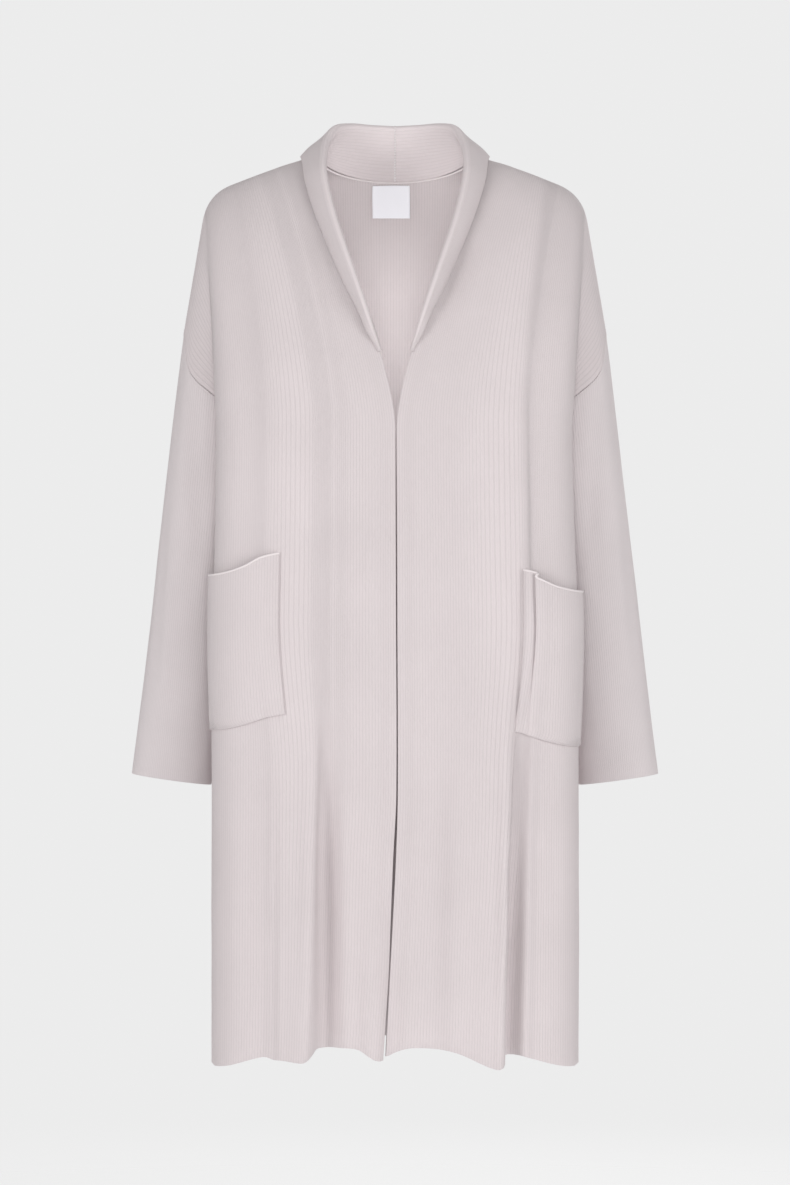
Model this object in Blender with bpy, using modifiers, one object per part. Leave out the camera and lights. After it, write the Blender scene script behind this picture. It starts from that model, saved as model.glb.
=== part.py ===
"""An open-front knitted duster coat with a shawl collar and two patch pockets.

It keeps the form that it has when worn, and is hollow: two fronts, a back, two
dropped-shoulder sleeves, a collar in two halves, two pockets and a blank neck
label. Each is a wall of cloth and a body of its own.

Metres, +Z up. The coat faces -Y, so the wearer's left is at +X. The origin is
the point midway between the two places where the shoulders meet the neck.
"""

import math

import bpy
from mathutils import Vector
from mathutils.bvhtree import BVHTree

# Cloth.
KNIT = 0.0020
COLLAR_KNIT = 0.0022
LABEL_CLOTH = 0.0010
SEAM_GAP = 0.0003
COLLAR_GAP = 0.0005
ARMHOLE_GAP = 0.0006

# Heights. The hem is highest beside the opening and droops to the sides.
UNDERARM_Z = -0.295
HEM_FRONT_Z = -0.974
HEM_BACK_Z = -0.986
HEM_DROOP = 0.024
POCKET_BOTTOM_Z = -0.619
POCKET_MOUTH_Z = -0.443
POCKET_BOTTOM_DROOP = 0.020
POCKET_MOUTH_DROOP = 0.0265
POCKET_DIFFERENCE = 0.018  # how much lower the wearer's left pocket hangs

# Rows of the grid: from the hem to the pocket, up the pocket, on to the
# underarm, and over the chest to the shoulder, closer together near its ridge.
HEM_ROWS = 5
POCKET_ROWS = 4
WAIST_ROWS = 3
UPPER_ROWS = 14
LOWER_ROWS = HEM_ROWS + POCKET_ROWS + WAIST_ROWS
ROWS = LOWER_ROWS + UPPER_ROWS
RIDGE_CROWDING = 1.6

# The body's half section by height: its half width, how far the front and back
# stand out, and the side seam's place, pushed in where the sleeve hangs.
BODY = (
    # z, half width, front depth, back depth, x of the side seam
    (-1.010, 0.2030, 0.134, 0.114, 0.190),
    (-0.850, 0.2030, 0.130, 0.112, 0.189),
    (-0.700, 0.2030, 0.127, 0.110, 0.180),
    (-0.600, 0.2030, 0.124, 0.109, 0.167),
    (-0.500, 0.2015, 0.121, 0.108, 0.156),
    (-0.400, 0.1985, 0.118, 0.107, 0.149),
    (-0.295, 0.1965, 0.115, 0.105, 0.145),
)
FRONT_CORNER_Y = -0.060
BACK_CORNER_Y = 0.085
SEAM_Y = 0.020
FRONT_CORNER_PULL = 0.025  # how far each end leads the cloth round the corner
FRONT_SEAM_PULL = 0.035
BACK_CORNER_PULL = 0.020
BACK_SEAM_PULL = 0.040
BACK_WIDTH_SHARE = 0.92
FLATNESS = 0.75  # the share of the width over which a front starts out flat
FRONT_FADE = 0.86  # the share of the width at which the folds begin to fade
BACK_FADE = 0.80

# The opening down the centre front: where it runs, and how wide it is.
OPENING = (
    # z, x, gap
    (-1.000, -0.0118, 0.0036),
    (-0.900, -0.0060, 0.0014),
    (-0.840, -0.0035, 0.0022),
    (-0.770, -0.0005, 0.0030),
    (-0.700, 0.0022, 0.0016),
    (-0.500, 0.0018, 0.0014),
    (-0.295, 0.0010, 0.0016),
)

# Columns of the grid on a front, by their distance from the opening: close
# together at folds and at the pocket's edge. The last one is the front's corner.
COLUMN_X = (
    0.0, 0.016, 0.032, 0.048, 0.064, 0.077, 0.086, 0.096,
    0.108, 0.120, 0.130, 0.139, 0.150, 0.165, 0.182, 0.203,
)
SIDE_COLUMNS = 5
NECK_COLUMNS = 5
NECK_SHARE = 0.30
POCKET_FIRST_COLUMN = 9
POCKET_LAST_COLUMN = 16
POCKET_SLANT = 0.006
POCKET_SLANT_X = 0.120
POCKET_SLANT_WIDTH = 0.030
POCKET_SLANT_START = 0.060  # how far below the pocket its slant begins

# Folds that hang to the hem. Each is a ridge with a flank on its inner side,
# towards the opening, and one on its outer side. The hem drops with it.
RIGHT_FOLDS = (
    # x at hem, x at pocket, z of its top, height, inner flank, outer flank, hem drop
    (0.004, 0.004, -0.700, 0.0050, 0.016, 0.018, 0.0140),
    (0.097, 0.090, -0.420, 0.0150, 0.011, 0.030, 0.0140),
    (0.132, 0.138, -0.330, 0.0040, 0.030, 0.006, 0.0040),
)
LEFT_FOLDS = (
    (0.000, 0.000, -0.700, 0.0050, 0.016, 0.014, 0.0090),
    (0.068, 0.068, -0.620, 0.0022, 0.012, 0.020, 0.0000),
    (0.126, 0.136, -0.200, 0.0170, 0.040, 0.010, 0.0200),
)
BACK_FOLDS = (
    (-0.128, -0.120, -0.360, 0.0110, 0.034, 0.022, 0.0050),
    (-0.046, -0.042, -0.480, 0.0090, 0.026, 0.036, 0.0040),
    (0.052, 0.047, -0.400, 0.0100, 0.036, 0.024, 0.0045),
    (0.132, 0.125, -0.330, 0.0110, 0.022, 0.034, 0.0050),
)
FOLD_DRIFT_WIDTH = 0.020

# The shoulder seam: down the slope from the neck, round the shoulder point,
# and down the outside of the upper arm to the top of the armhole.
NECK_POINT = Vector((0.0890, 0.026, 0.014))
SHOULDER_CORNER = Vector((0.2115, 0.027, -0.0325))
ARMHOLE_TOP = Vector((0.2370, 0.022, -0.183))
SHOULDER_ROUND = 0.030
ROUND_LENGTH = 1.75  # the length round the shoulder point, as a share of its reach
SHOULDER_SPLIT = 0.52  # the share of the seam above the flat part of a front
BACK_NECK = Vector((0.0, 0.076, -0.012))

# Pulls that shape the cloth between the underarm and the shoulder.
CHEST_RISE = Vector((0.0, 0.0, 0.30))
LAPEL_LEAN = Vector((0.02, 0.0, 0.0))
NEAR_NECK_COLUMNS = 4
FRONT_OVER = Vector((0.0, 0.21, -0.05))
BACK_OVER = Vector((0.0, -0.20, 0.06))
NECK_FRONT_OVER = Vector((-0.06, 0.22, 0.03))
NECK_BACK_OVER = Vector((0.0, -0.18, 0.0))
BACK_NECK_OVER = Vector((0.0, -0.07, 0.19))
NECKLINE_LEAVE = Vector((0.12, 0.0, 0.0))
NECKLINE_ARRIVE = Vector((0.03, -0.09, 0.05))
ARMHOLE_LEAVE = Vector((0.05, -0.14, 0.12))
ARMHOLE_ARRIVE = Vector((0.0, 0.17, 0.03))
SIDE_CREASE = 0.009  # how far the fold beside the arm is pressed in
BACK_CREASE = 0.004
CREASE_PLACE = 0.30
CREASE_WIDTH = 0.22
CREASE_RISE = 1.15

# The front half of the armhole seam, from the underarm to the shoulder seam.
# The back half is the same, turned about the shoulder seam.
ARMHOLE = (
    # share of the rise, x, y, z
    (0.00, 0.1450, 0.0200, -0.2950),
    (0.15, 0.1540, -0.0050, -0.2900),
    (0.35, 0.1780, -0.0270, -0.2750),
    (0.55, 0.2060, -0.0330, -0.2560),
    (0.75, 0.2290, -0.0240, -0.2320),
    (0.90, 0.2360, -0.0050, -0.1950),
    (1.00, 0.2370, 0.0220, -0.1830),
)

# Sleeves.
CUFF_CENTRE = Vector((0.2515, 0.026, -0.689))
CUFF_HALF_WIDTH = 0.0450
CUFF_HALF_DEPTH = 0.0360
CUFF_SLOPE = math.radians(8.0)
SLEEVE_SHARES = (0.0, 0.01, 0.06, 0.15, 0.25, 0.36, 0.48, 0.60, 0.72, 0.84, 0.93, 1.0)

# Half the collar, by its share of the neck seam from the chest to the centre
# back: the crest of its roll, its free edge, and the roll's radius.
COLLAR = (
    # share, roll x, y, z, edge x, y, z, radius
    (0.000, 0.0172, -0.1098, -0.2160, 0.0195, -0.1070, -0.2200, 0.0025),
    (0.100, 0.0310, -0.1110, -0.1720, 0.0340, -0.0980, -0.1800, 0.0034),
    (0.210, 0.0445, -0.1010, -0.1300, 0.0550, -0.0840, -0.1380, 0.0042),
    (0.400, 0.0667, -0.0740, -0.0615, 0.0830, -0.0580, -0.0700, 0.0048),
    (0.545, 0.0770, -0.0440, -0.0130, 0.0980, -0.0300, -0.0220, 0.0050),
    (0.640, 0.0765, -0.0160, 0.0120, 0.1025, -0.0040, 0.0030, 0.0052),
    (0.720, 0.0735, 0.0100, 0.0310, 0.1040, 0.0280, 0.0090, 0.0052),
    (0.800, 0.0655, 0.0310, 0.0475, 0.0900, 0.0600, -0.0020, 0.0050),
    (0.870, 0.0490, 0.0480, 0.0520, 0.0600, 0.0790, -0.0140, 0.0048),
    (0.940, 0.0255, 0.0595, 0.0515, 0.0280, 0.0830, -0.0180, 0.0046),
    (1.000, 0.0000, 0.0625, 0.0505, 0.0000, 0.0840, -0.0190, 0.0046),
)
BREAK_ROW = LOWER_ROWS + 2
STAND_COLUMNS = 3
ROLL_COLUMNS = 4
FALL_COLUMNS = 3
COLLAR_LIFT = 0.0022
FALL_BULGE = 0.0025
COLLAR_STEP = 0.01  # the share of the seam over which the roll's direction is taken

# Pockets lie on the fronts and stand away from them towards their middle.
POCKET_LIFT = 0.0003
POCKET_EASE = 0.0105

# The neck label hangs inside the back, from the neck seam.
LABEL_X = (-0.0259, 0.0169)
LABEL_TOP_Z = -0.0150
LABEL_BOTTOM_Z = -0.0540
LABEL_LIFT = 0.0004
LABEL_COLUMNS = 3
LABEL_ROWS = 3

# Plain colours: a dusty rose-grey knit and a white label.
KNIT_COLOUR = (0.69, 0.62, 0.63, 1.0)
COLOURS = {"neck_label": (0.86, 0.86, 0.89, 1.0)}


def mix(a, b, t):
    return a + (b - a) * t


def smooth(t):
    t = min(1.0, max(0.0, t))
    return t * t * (3 - 2 * t)


def hermite(a, b, leave, arrive, t):
    """A cubic from a to b that leaves and arrives along the two pulls."""
    t2, t3 = t * t, t * t * t
    start = a * (2 * t3 - 3 * t2 + 1) + leave * (t3 - 2 * t2 + t)
    return start + b * (3 * t2 - 2 * t3) + arrive * (t3 - t2)


def bezier(a, b, c, d, t):
    s = 1 - t
    return a * (s * s * s) + b * (3 * s * s * t) + c * (3 * s * t * t) + d * (t * t * t)


def table_at(rows, key):
    """The other columns of a table at a key, on smooth curves through its rows."""
    key = min(rows[-1][0], max(rows[0][0], key))
    i = max(n for n in range(len(rows) - 1) if rows[n][0] <= key)
    before, a, b = rows[max(i - 1, 0)], rows[i], rows[i + 1]
    after = rows[min(i + 2, len(rows) - 1)]
    span = b[0] - a[0]
    values = []
    for n in range(1, len(a)):
        leave = (b[n] - before[n]) / (b[0] - before[0]) * span
        arrive = (after[n] - a[n]) / (after[0] - a[0]) * span
        values.append(hermite(a[n], b[n], leave, arrive, (key - a[0]) / span))
    return values


def mirrored(point, side):
    return Vector((point.x * side, point.y, point.z))


def turned_back(pull):
    """A pull for the front made into one for the back."""
    return Vector((pull.x, -pull.y, pull.z))


def across_share(u):
    """The share of the width that a point of the half section lies at, for u from 0 to 1."""
    return bezier(0.0, FLATNESS, 1.0, 1.0, u)


def share_to_u(share):
    low, high = 0.0, 1.0
    for _ in range(40):
        middle = (low + high) / 2
        if across_share(middle) < share:
            low = middle
        else:
            high = middle
    return low


FLAT_COLUMNS = len(COLUMN_X) - 1
FRONT_COLUMNS = FLAT_COLUMNS + SIDE_COLUMNS
BACK_COLUMNS = NECK_COLUMNS + FRONT_COLUMNS
WIDTH = COLUMN_X[-1]
BACK_U = [NECK_SHARE * n / NECK_COLUMNS for n in range(NECK_COLUMNS)]
BACK_U += [mix(NECK_SHARE, 1.0, x / WIDTH) for x in COLUMN_X]


def ridge(x, crest, inner, outer):
    """The share of a fold's height at x, with its own width on each flank."""
    width = inner if x < crest else outer
    return math.exp(-(((x - crest) / width) ** 2))


def fold_shift(folds, x, z):
    """How far the folds push the cloth out at x, and along, to follow their crests."""
    out, along = 0.0, 0.0
    for x_hem, x_pocket, z_top, height, inner, outer, _ in folds:
        grown = smooth((z_top - z) / (z_top - HEM_FRONT_Z))
        risen = smooth((z - HEM_FRONT_Z) / (POCKET_BOTTOM_Z - HEM_FRONT_Z))
        out += height * grown * ridge(x, x_hem, inner, outer)
        along += (x_pocket - x_hem) * risen * ridge(x, x_hem, FOLD_DRIFT_WIDTH, FOLD_DRIFT_WIDTH)
    return out, along


def hem_drop(folds, x):
    return sum(fold[6] * ridge(x, fold[0], fold[4], fold[5]) for fold in folds)


def fold_fade(share, start):
    """1 on the flat of a panel, falling to 0 where it turns to the side."""
    return 1 - smooth((share - start) / (1 - start))


def folds_of(side):
    return LEFT_FOLDS if side > 0 else RIGHT_FOLDS


def row_height(side, row, droop, hem_z):
    """The height of a row of the grid between the hem and the underarm."""
    shift = -side * POCKET_DIFFERENCE / 2
    bottom = POCKET_BOTTOM_Z + shift - POCKET_BOTTOM_DROOP * droop
    mouth = POCKET_MOUTH_Z + shift - POCKET_MOUTH_DROOP * droop
    if row <= HEM_ROWS:
        return mix(hem_z, bottom, row / HEM_ROWS)
    if row <= HEM_ROWS + POCKET_ROWS:
        return mix(bottom, mouth, (row - HEM_ROWS) / POCKET_ROWS)
    return mix(mouth, UNDERARM_Z, (row - HEM_ROWS - POCKET_ROWS) / WAIST_ROWS)


def front_height(side, column, row):
    x = COLUMN_X[min(column, FLAT_COLUMNS)]
    droop = smooth(2 * x / WIDTH - 1)
    hem_z = HEM_FRONT_Z - HEM_DROOP * droop - hem_drop(folds_of(side), x)
    return row_height(side, row, droop, hem_z)


def front_ring(side, column, row):
    """A point of a front between the hem and the underarm."""
    z = front_height(side, column, row)
    width, depth, _, seam_x = table_at(BODY, z)
    if column > FLAT_COLUMNS:
        v = (column - FLAT_COLUMNS) / SIDE_COLUMNS
        x = bezier(width, width, seam_x, seam_x, v)
        corner, seam = FRONT_CORNER_Y + FRONT_CORNER_PULL, SEAM_Y - FRONT_SEAM_PULL
        y = bezier(FRONT_CORNER_Y, corner, seam, SEAM_Y, v)
        return Vector((side * x, y, z))
    column_x = COLUMN_X[column]
    share = column_x / WIDTH
    u = share_to_u(share)
    out, along = fold_shift(folds_of(side), column_x, z)
    fade = fold_fade(share, FRONT_FADE)
    raised = z - POCKET_BOTTOM_Z + POCKET_SLANT_START
    slant = 2 * smooth(raised / (POCKET_MOUTH_Z - POCKET_BOTTOM_Z)) - 1
    slant *= POCKET_SLANT * ridge(column_x, POCKET_SLANT_X, POCKET_SLANT_WIDTH, POCKET_SLANT_WIDTH)
    centre, gap = table_at(OPENING, z)
    x = width * share + (along + slant) * fade
    y = bezier(-depth, -depth * 1.02, -depth * 1.01, FRONT_CORNER_Y, u) - out * fade
    return Vector((side * (x + gap / 2 * (1 - share)) + centre * (1 - share), y, z))


def shoulder_seam(fraction):
    """A point of the shoulder seam on the +X side, from the neck to the armhole."""
    slope = (SHOULDER_CORNER - NECK_POINT).normalized()
    fall = (ARMHOLE_TOP - SHOULDER_CORNER).normalized()
    start = SHOULDER_CORNER - slope * SHOULDER_ROUND
    end = SHOULDER_CORNER + fall * SHOULDER_ROUND
    first = (start - NECK_POINT).length
    bend = SHOULDER_ROUND * ROUND_LENGTH
    along = fraction * (first + bend + (ARMHOLE_TOP - end).length)
    if along <= first:
        return NECK_POINT + slope * along
    if along >= first + bend:
        return end + fall * (along - first - bend)
    t = (along - first) / bend
    return bezier(start, mix(start, SHOULDER_CORNER, 2 / 3), mix(end, SHOULDER_CORNER, 2 / 3), end, t)


def shoulder_fraction(column):
    """The share of the shoulder seam at which a column of a front ends."""
    if column <= FLAT_COLUMNS:
        return SHOULDER_SPLIT * COLUMN_X[column] / WIDTH
    return mix(SHOULDER_SPLIT, 1.0, (column - FLAT_COLUMNS) / SIDE_COLUMNS)


def upper_share(row):
    return 1 - (1 - (row - LOWER_ROWS) / UPPER_ROWS) ** RIDGE_CROWDING


def side_share(column):
    """0 on the flat of a front or back, growing to 1 at the armhole."""
    return smooth((column - FLAT_COLUMNS + 2) / (SIDE_COLUMNS + 2))


def beside_arm(point, column, t, crease, turn):
    """Press in the fold beside the arm, and lead the cloth to the armhole seam."""
    v = max(0.0, (column - FLAT_COLUMNS) / SIDE_COLUMNS)
    if v > 0:
        pressed = ridge(v, CREASE_PLACE, CREASE_WIDTH, CREASE_WIDTH)
        point.x -= crease * pressed * math.sin(math.pi * min(1.0, t * CREASE_RISE)) ** 2
    start = Vector(ARMHOLE[0][1:])
    plain = hermite(start, ARMHOLE_TOP, ARMHOLE_LEAVE, ARMHOLE_ARRIVE, t)
    shift = (Vector(table_at(ARMHOLE, t)) - plain) * v ** 3
    return point + Vector((shift.x, shift.y * turn, shift.z))


def front_point(side, column, row):
    """A point of a front's outer face. Row 0 is the hem, and the last row the shoulder seam."""
    if row <= LOWER_ROWS:
        return front_ring(side, column, row)
    t = upper_share(row)
    base = mirrored(front_ring(side, column, LOWER_ROWS), side)
    top = shoulder_seam(shoulder_fraction(column))
    near_neck = 1 - smooth(column / NEAR_NECK_COLUMNS)
    leave = mix(CHEST_RISE + LAPEL_LEAN * near_neck, ARMHOLE_LEAVE, side_share(column))
    arrive = mix(mix(FRONT_OVER, NECK_FRONT_OVER, near_neck), ARMHOLE_ARRIVE, side_share(column))
    point = hermite(base, top, leave, arrive, t)
    return mirrored(beside_arm(point, column, t, SIDE_CREASE, 1), side)


def back_ring(side, column, row):
    """A point of the back between the hem and the underarm, counted from its centre."""
    front_column = column - NECK_COLUMNS
    if front_column > FLAT_COLUMNS:
        z = front_height(side, front_column, row)
        width, _, _, seam_x = table_at(BODY, z)
        v = (front_column - FLAT_COLUMNS) / SIDE_COLUMNS
        x = bezier(width * BACK_WIDTH_SHARE, width * BACK_WIDTH_SHARE, seam_x, seam_x, v)
        corner, seam = BACK_CORNER_Y - BACK_CORNER_PULL, SEAM_Y + BACK_SEAM_PULL
        y = bezier(BACK_CORNER_Y, corner, seam, SEAM_Y, v)
        return Vector((side * x, y, z))
    u = BACK_U[column]
    share = across_share(u)
    droop = smooth(2 * share - 1)
    fold_x = side * share * WIDTH * BACK_WIDTH_SHARE
    fade = fold_fade(share, BACK_FADE)
    hem_z = mix(HEM_BACK_Z, HEM_FRONT_Z - HEM_DROOP, droop) - hem_drop(BACK_FOLDS, fold_x) * fade
    z = row_height(side * smooth(1.5 * share), row, droop, hem_z)
    width, _, depth, _ = table_at(BODY, z)
    out, along = fold_shift(BACK_FOLDS, fold_x, z)
    x = side * width * BACK_WIDTH_SHARE * share + along * fade
    y = bezier(depth, depth * 1.02, depth, BACK_CORNER_Y, u) + out * fade
    return Vector((x, y, z))


def back_neckline(t):
    """The back neckline on the +X side, from the centre back to the neck point."""
    return hermite(BACK_NECK, NECK_POINT, NECKLINE_LEAVE, NECKLINE_ARRIVE, t)


def back_point(side, column, row):
    """A point of the back's outer face, counted from its centre to one side."""
    if row <= LOWER_ROWS:
        return back_ring(side, column, row)
    t = upper_share(row)
    base = mirrored(back_ring(side, column, LOWER_ROWS), side)
    if column <= NECK_COLUMNS:
        share = column / NECK_COLUMNS
        arrive = mix(BACK_NECK_OVER, NECK_BACK_OVER, smooth(share))
        return mirrored(hermite(base, back_neckline(share), CHEST_RISE, arrive, t), side)
    front_column = column - NECK_COLUMNS
    top = shoulder_seam(shoulder_fraction(front_column))
    to_arm = side_share(front_column)
    leave = mix(CHEST_RISE, turned_back(ARMHOLE_LEAVE), to_arm)
    near_neck = 1 - smooth(front_column / NEAR_NECK_COLUMNS)
    arrive = mix(mix(BACK_OVER, NECK_BACK_OVER, near_neck), turned_back(ARMHOLE_ARRIVE), to_arm)
    point = hermite(base, top, leave, arrive, t)
    return mirrored(beside_arm(point, front_column, t, BACK_CREASE, -1), side)


def front_grid(side):
    """A front's outer face: rows of points from the opening to the side."""
    columns = range(FRONT_COLUMNS + 1)
    return [[front_point(side, column, row) for column in columns] for row in range(ROWS + 1)]


def back_grid():
    """The back's outer face: rows of points from the +X side to the -X side."""
    left = range(BACK_COLUMNS, -1, -1)
    right = range(1, BACK_COLUMNS + 1)
    return [
        [back_point(1, c, row) for c in left] + [back_point(-1, c, row) for c in right]
        for row in range(ROWS + 1)
    ]


def eased(point, towards, distance=SEAM_GAP):
    """A point moved a little way towards another one."""
    return point + (towards - point).normalized() * distance


def trim(grid, first_column=False):
    """Draw a panel's edges in from its seams: its last row and its outer columns."""
    grid[-1] = [eased(p, q) for p, q in zip(grid[-1], grid[-2])]
    for row in grid:
        row[-1] = eased(row[-1], row[-2])
        if first_column:
            row[0] = eased(row[0], row[1])
    return grid


def length_shares(points):
    """How far along a line of points each one lies, from 0 to 1."""
    runs = [0.0]
    for a, b in zip(points, points[1:]):
        runs.append(runs[-1] + (b - a).length)
    return [run / runs[-1] for run in runs]


def sleeve_grid(side):
    """A sleeve's outer face: rings from the armhole to the cuff, each from the underarm round."""
    loop = [front_point(side, FRONT_COLUMNS, row) for row in range(LOWER_ROWS, ROWS)]
    loop += [back_point(side, BACK_COLUMNS, row) for row in range(ROWS, LOWER_ROWS, -1)]
    shares = length_shares(loop + loop[:1])
    middle = sum(loop, Vector()) / len(loop)
    across = Vector((math.cos(CUFF_SLOPE) * side, 0.0, math.sin(CUFF_SLOPE)))
    rings = []
    for t in SLEEVE_SHARES:
        ring = []
        for n, start in enumerate(loop):
            angle = 2 * math.pi * shares[n]
            cuff = mirrored(CUFF_CENTRE, side) - across * CUFF_HALF_WIDTH * math.cos(angle)
            cuff.y -= CUFF_HALF_DEPTH * math.sin(angle)
            seam_run = (loop[(n + 1) % len(loop)] - loop[n - 1]).normalized()
            away = cuff - start
            away -= seam_run * away.dot(seam_run)
            under_arm = (1 + math.cos(angle)) / 2
            clear = eased(start + away.normalized() * ARMHOLE_GAP, middle, ARMHOLE_GAP * under_arm)
            ring.append(mix(clear, cuff, t))
        rings.append(ring)
    return rings


def grid_normals(grid, turn=1):
    """Unit normals at the points of a grid, from their neighbours."""
    normals = []
    last_row, last_column = len(grid) - 1, len(grid[0]) - 1
    for r, row in enumerate(grid):
        line = []
        for c in range(len(row)):
            across = row[min(c + 1, last_column)] - row[max(c - 1, 0)]
            up = grid[min(r + 1, last_row)][c] - grid[max(r - 1, 0)][c]
            line.append(across.cross(up).normalized() * turn)
        normals.append(line)
    return normals


def grid_faces(rows, columns, around=False, flip=False):
    """The quads of a grid of points, as lists of point numbers."""
    faces = []
    for r in range(rows - 1):
        for c in range(columns if around else columns - 1):
            d = (c + 1) % columns
            quad = [r * columns + c, r * columns + d, (r + 1) * columns + d, (r + 1) * columns + c]
            faces.append(quad[::-1] if flip else quad)
    return faces


def surface_tree(grids):
    """A search tree over several grids, for laying one piece on another."""
    points, faces = [], []
    for grid, flip in grids:
        start = len(points)
        points += [point for row in grid for point in row]
        for face in grid_faces(len(grid), len(grid[0]), flip=flip):
            faces.append([start + n for n in face])
    return BVHTree.FromPolygons(points, faces)


def laid(tree, point, lift):
    """The place above the nearest cloth to a point."""
    location, normal, _, _ = tree.find_nearest(point)
    return location + normal * lift


def roll_section(seam, crest, edge, run, radius):
    """A collar section's hidden side: up from the seam, round the roll and down to the edge."""
    inward = (seam + edge) / 2 - crest
    inward = (inward - run * inward.dot(run)).normalized()
    outward = run.cross(inward)
    if outward.dot(edge - seam) < 0:
        outward = -outward
    core = crest + inward * radius
    inner = radius - COLLAR_KNIT

    def tangent(point, sign):
        across, along = (point - core).dot(outward), (point - core).dot(inward)
        distance = max(math.hypot(across, along), inner * 1.01)
        return math.atan2(across, along) + sign * math.acos(inner / distance)

    start = tangent(seam, -1)
    end = tangent(edge, 1) - 2 * math.pi
    arc = []
    for n in range(ROLL_COLUMNS + 1):
        angle = mix(start, end, n / ROLL_COLUMNS)
        arc.append(core + (inward * math.cos(angle) + outward * math.sin(angle)) * inner)
    stand = [mix(seam, arc[0], n / STAND_COLUMNS) for n in range(STAND_COLUMNS)]
    fall = []
    for n in range(1, FALL_COLUMNS + 1):
        t = n / FALL_COLUMNS
        fall.append(mix(arc[-1], edge, t) + outward * FALL_BULGE * math.sin(math.pi * t))
    return stand + arc + fall


def collar_grid(side, front, back, tree):
    """Half the collar's hidden side: sections from the chest to the centre back."""
    seam, off = [], []
    for row in range(BREAK_ROW, ROWS):
        seam.append(front[row][0])
        off.append(front[row][0] - front[row][1])
    middle = BACK_COLUMNS
    for column in range(NECK_COLUMNS, -1, -1):
        place = middle - side * column
        seam.append(back[ROWS][place])
        off.append(back[ROWS][place] - back[ROWS - 1][place])
    corner = ROWS - BREAK_ROW
    off[corner] = off[corner].normalized() + (front[ROWS][0] - front[ROWS][1]).normalized()
    sections = []
    for base, away, share in zip(seam, off, length_shares(seam)):
        values = table_at(COLLAR, share)
        crest = mirrored(Vector(values[0:3]), side)
        edge = laid(tree, mirrored(Vector(values[3:6]), side), COLLAR_LIFT)
        ahead = Vector(table_at(COLLAR, share + COLLAR_STEP)[0:3])
        run = mirrored(ahead - Vector(table_at(COLLAR, share - COLLAR_STEP)[0:3]), side)
        start = base + away.normalized() * COLLAR_GAP
        sections.append(roll_section(start, crest, edge, run.normalized(), values[6]))
    for point in sections[-1]:
        point.x = side * COLLAR_GAP
    return sections


def pocket_grid(side, front):
    """A pocket's outer face, from the front's own points moved out."""
    rows = front[HEM_ROWS:HEM_ROWS + POCKET_ROWS + 1]
    normals = grid_normals(front, side)[HEM_ROWS:HEM_ROWS + POCKET_ROWS + 1]
    last = POCKET_LAST_COLUMN - POCKET_FIRST_COLUMN
    grid = []
    for r, (row, lifts) in enumerate(zip(rows, normals)):
        line = []
        for c in range(last + 1):
            column = POCKET_FIRST_COLUMN + c
            raised = math.sin(math.pi / 2 * r / POCKET_ROWS)
            ease = POCKET_EASE * math.sin(math.pi * c / last) * raised
            line.append(row[column] + lifts[column] * (POCKET_LIFT + KNIT + ease))
        grid.append(line)
    return grid


def label_grid(tree):
    """The label's visible face, laid inside the back below the neck seam."""
    grid = []
    for r in range(LABEL_ROWS + 1):
        z = mix(LABEL_BOTTOM_Z, LABEL_TOP_Z, r / LABEL_ROWS)
        line = []
        for c in range(LABEL_COLUMNS + 1):
            x = mix(LABEL_X[0], LABEL_X[1], c / LABEL_COLUMNS)
            line.append(laid(tree, Vector((x, BACK_NECK.y, z)), -KNIT - LABEL_LIFT - LABEL_CLOTH))
        grid.append(line)
    return grid


def clear_scene():
    for obj in list(bpy.data.objects):
        bpy.data.objects.remove(obj)


def plain_material(name, colour):
    material = bpy.data.materials.new(name)
    material.use_nodes = True
    shader = material.node_tree.nodes["Principled BSDF"]
    shader.inputs["Base Color"].default_value = colour
    shader.inputs["Roughness"].default_value = 0.9
    shader.inputs["Metallic"].default_value = 0.0
    material.diffuse_color = colour
    return material


def cloth_piece(collection, name, grid, thickness=KNIT, around=False, flip=False, grow=-1):
    """A wall of cloth: a grid of points as one surface, given its thickness."""
    mesh = bpy.data.meshes.new(name)
    points = [point for row in grid for point in row]
    mesh.from_pydata(points, [], grid_faces(len(grid), len(grid[0]), around, flip))
    mesh.shade_smooth()
    mesh.materials.append(plain_material(name, COLOURS.get(name, KNIT_COLOUR)))
    piece = bpy.data.objects.new(name, mesh)
    collection.objects.link(piece)
    wall = piece.modifiers.new("Wall", "SOLIDIFY")
    wall.thickness = thickness
    wall.offset = grow
    wall.use_quality_normals = True
    return piece


def build():
    clear_scene()
    coat = bpy.data.collections.new("duster_cardigan")
    bpy.context.scene.collection.children.link(coat)
    fronts = {side: front_grid(side) for side in (1, -1)}
    back = back_grid()
    tree = surface_tree([(fronts[1], False), (fronts[-1], True), (back, False)])

    for side, hand in ((1, "left"), (-1, "right")):
        left = side > 0
        collar = collar_grid(side, fronts[side], back, tree)
        cloth_piece(coat, f"collar_{hand}", collar, COLLAR_KNIT, flip=not left, grow=1)
        cloth_piece(coat, f"pocket_{hand}", pocket_grid(side, fronts[side]), flip=not left)
        cloth_piece(coat, f"sleeve_{hand}", sleeve_grid(side), around=True, flip=left)
        cloth_piece(coat, f"front_{hand}", trim(fronts[side]), flip=not left)
    cloth_piece(coat, "neck_label", label_grid(tree), LABEL_CLOTH)
    cloth_piece(coat, "back", trim(back, first_column=True))


build()
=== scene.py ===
# %% [markdown]
# # A knitted duster cardigan
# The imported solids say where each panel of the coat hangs. They are coarse,
# because they also serve for collision. This lesson makes the same panels again
# on a much finer grid, and adds what makes them cloth: soft creases, rolled
# edges, knit stitches and sewing. The coat faces -Y and hangs from its
# shoulders, with the origin between the two neck points. All sizes are metres.

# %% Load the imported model
import math

import bpy
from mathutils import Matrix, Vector, noise
from mathutils.bvhtree import BVHTree


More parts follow.
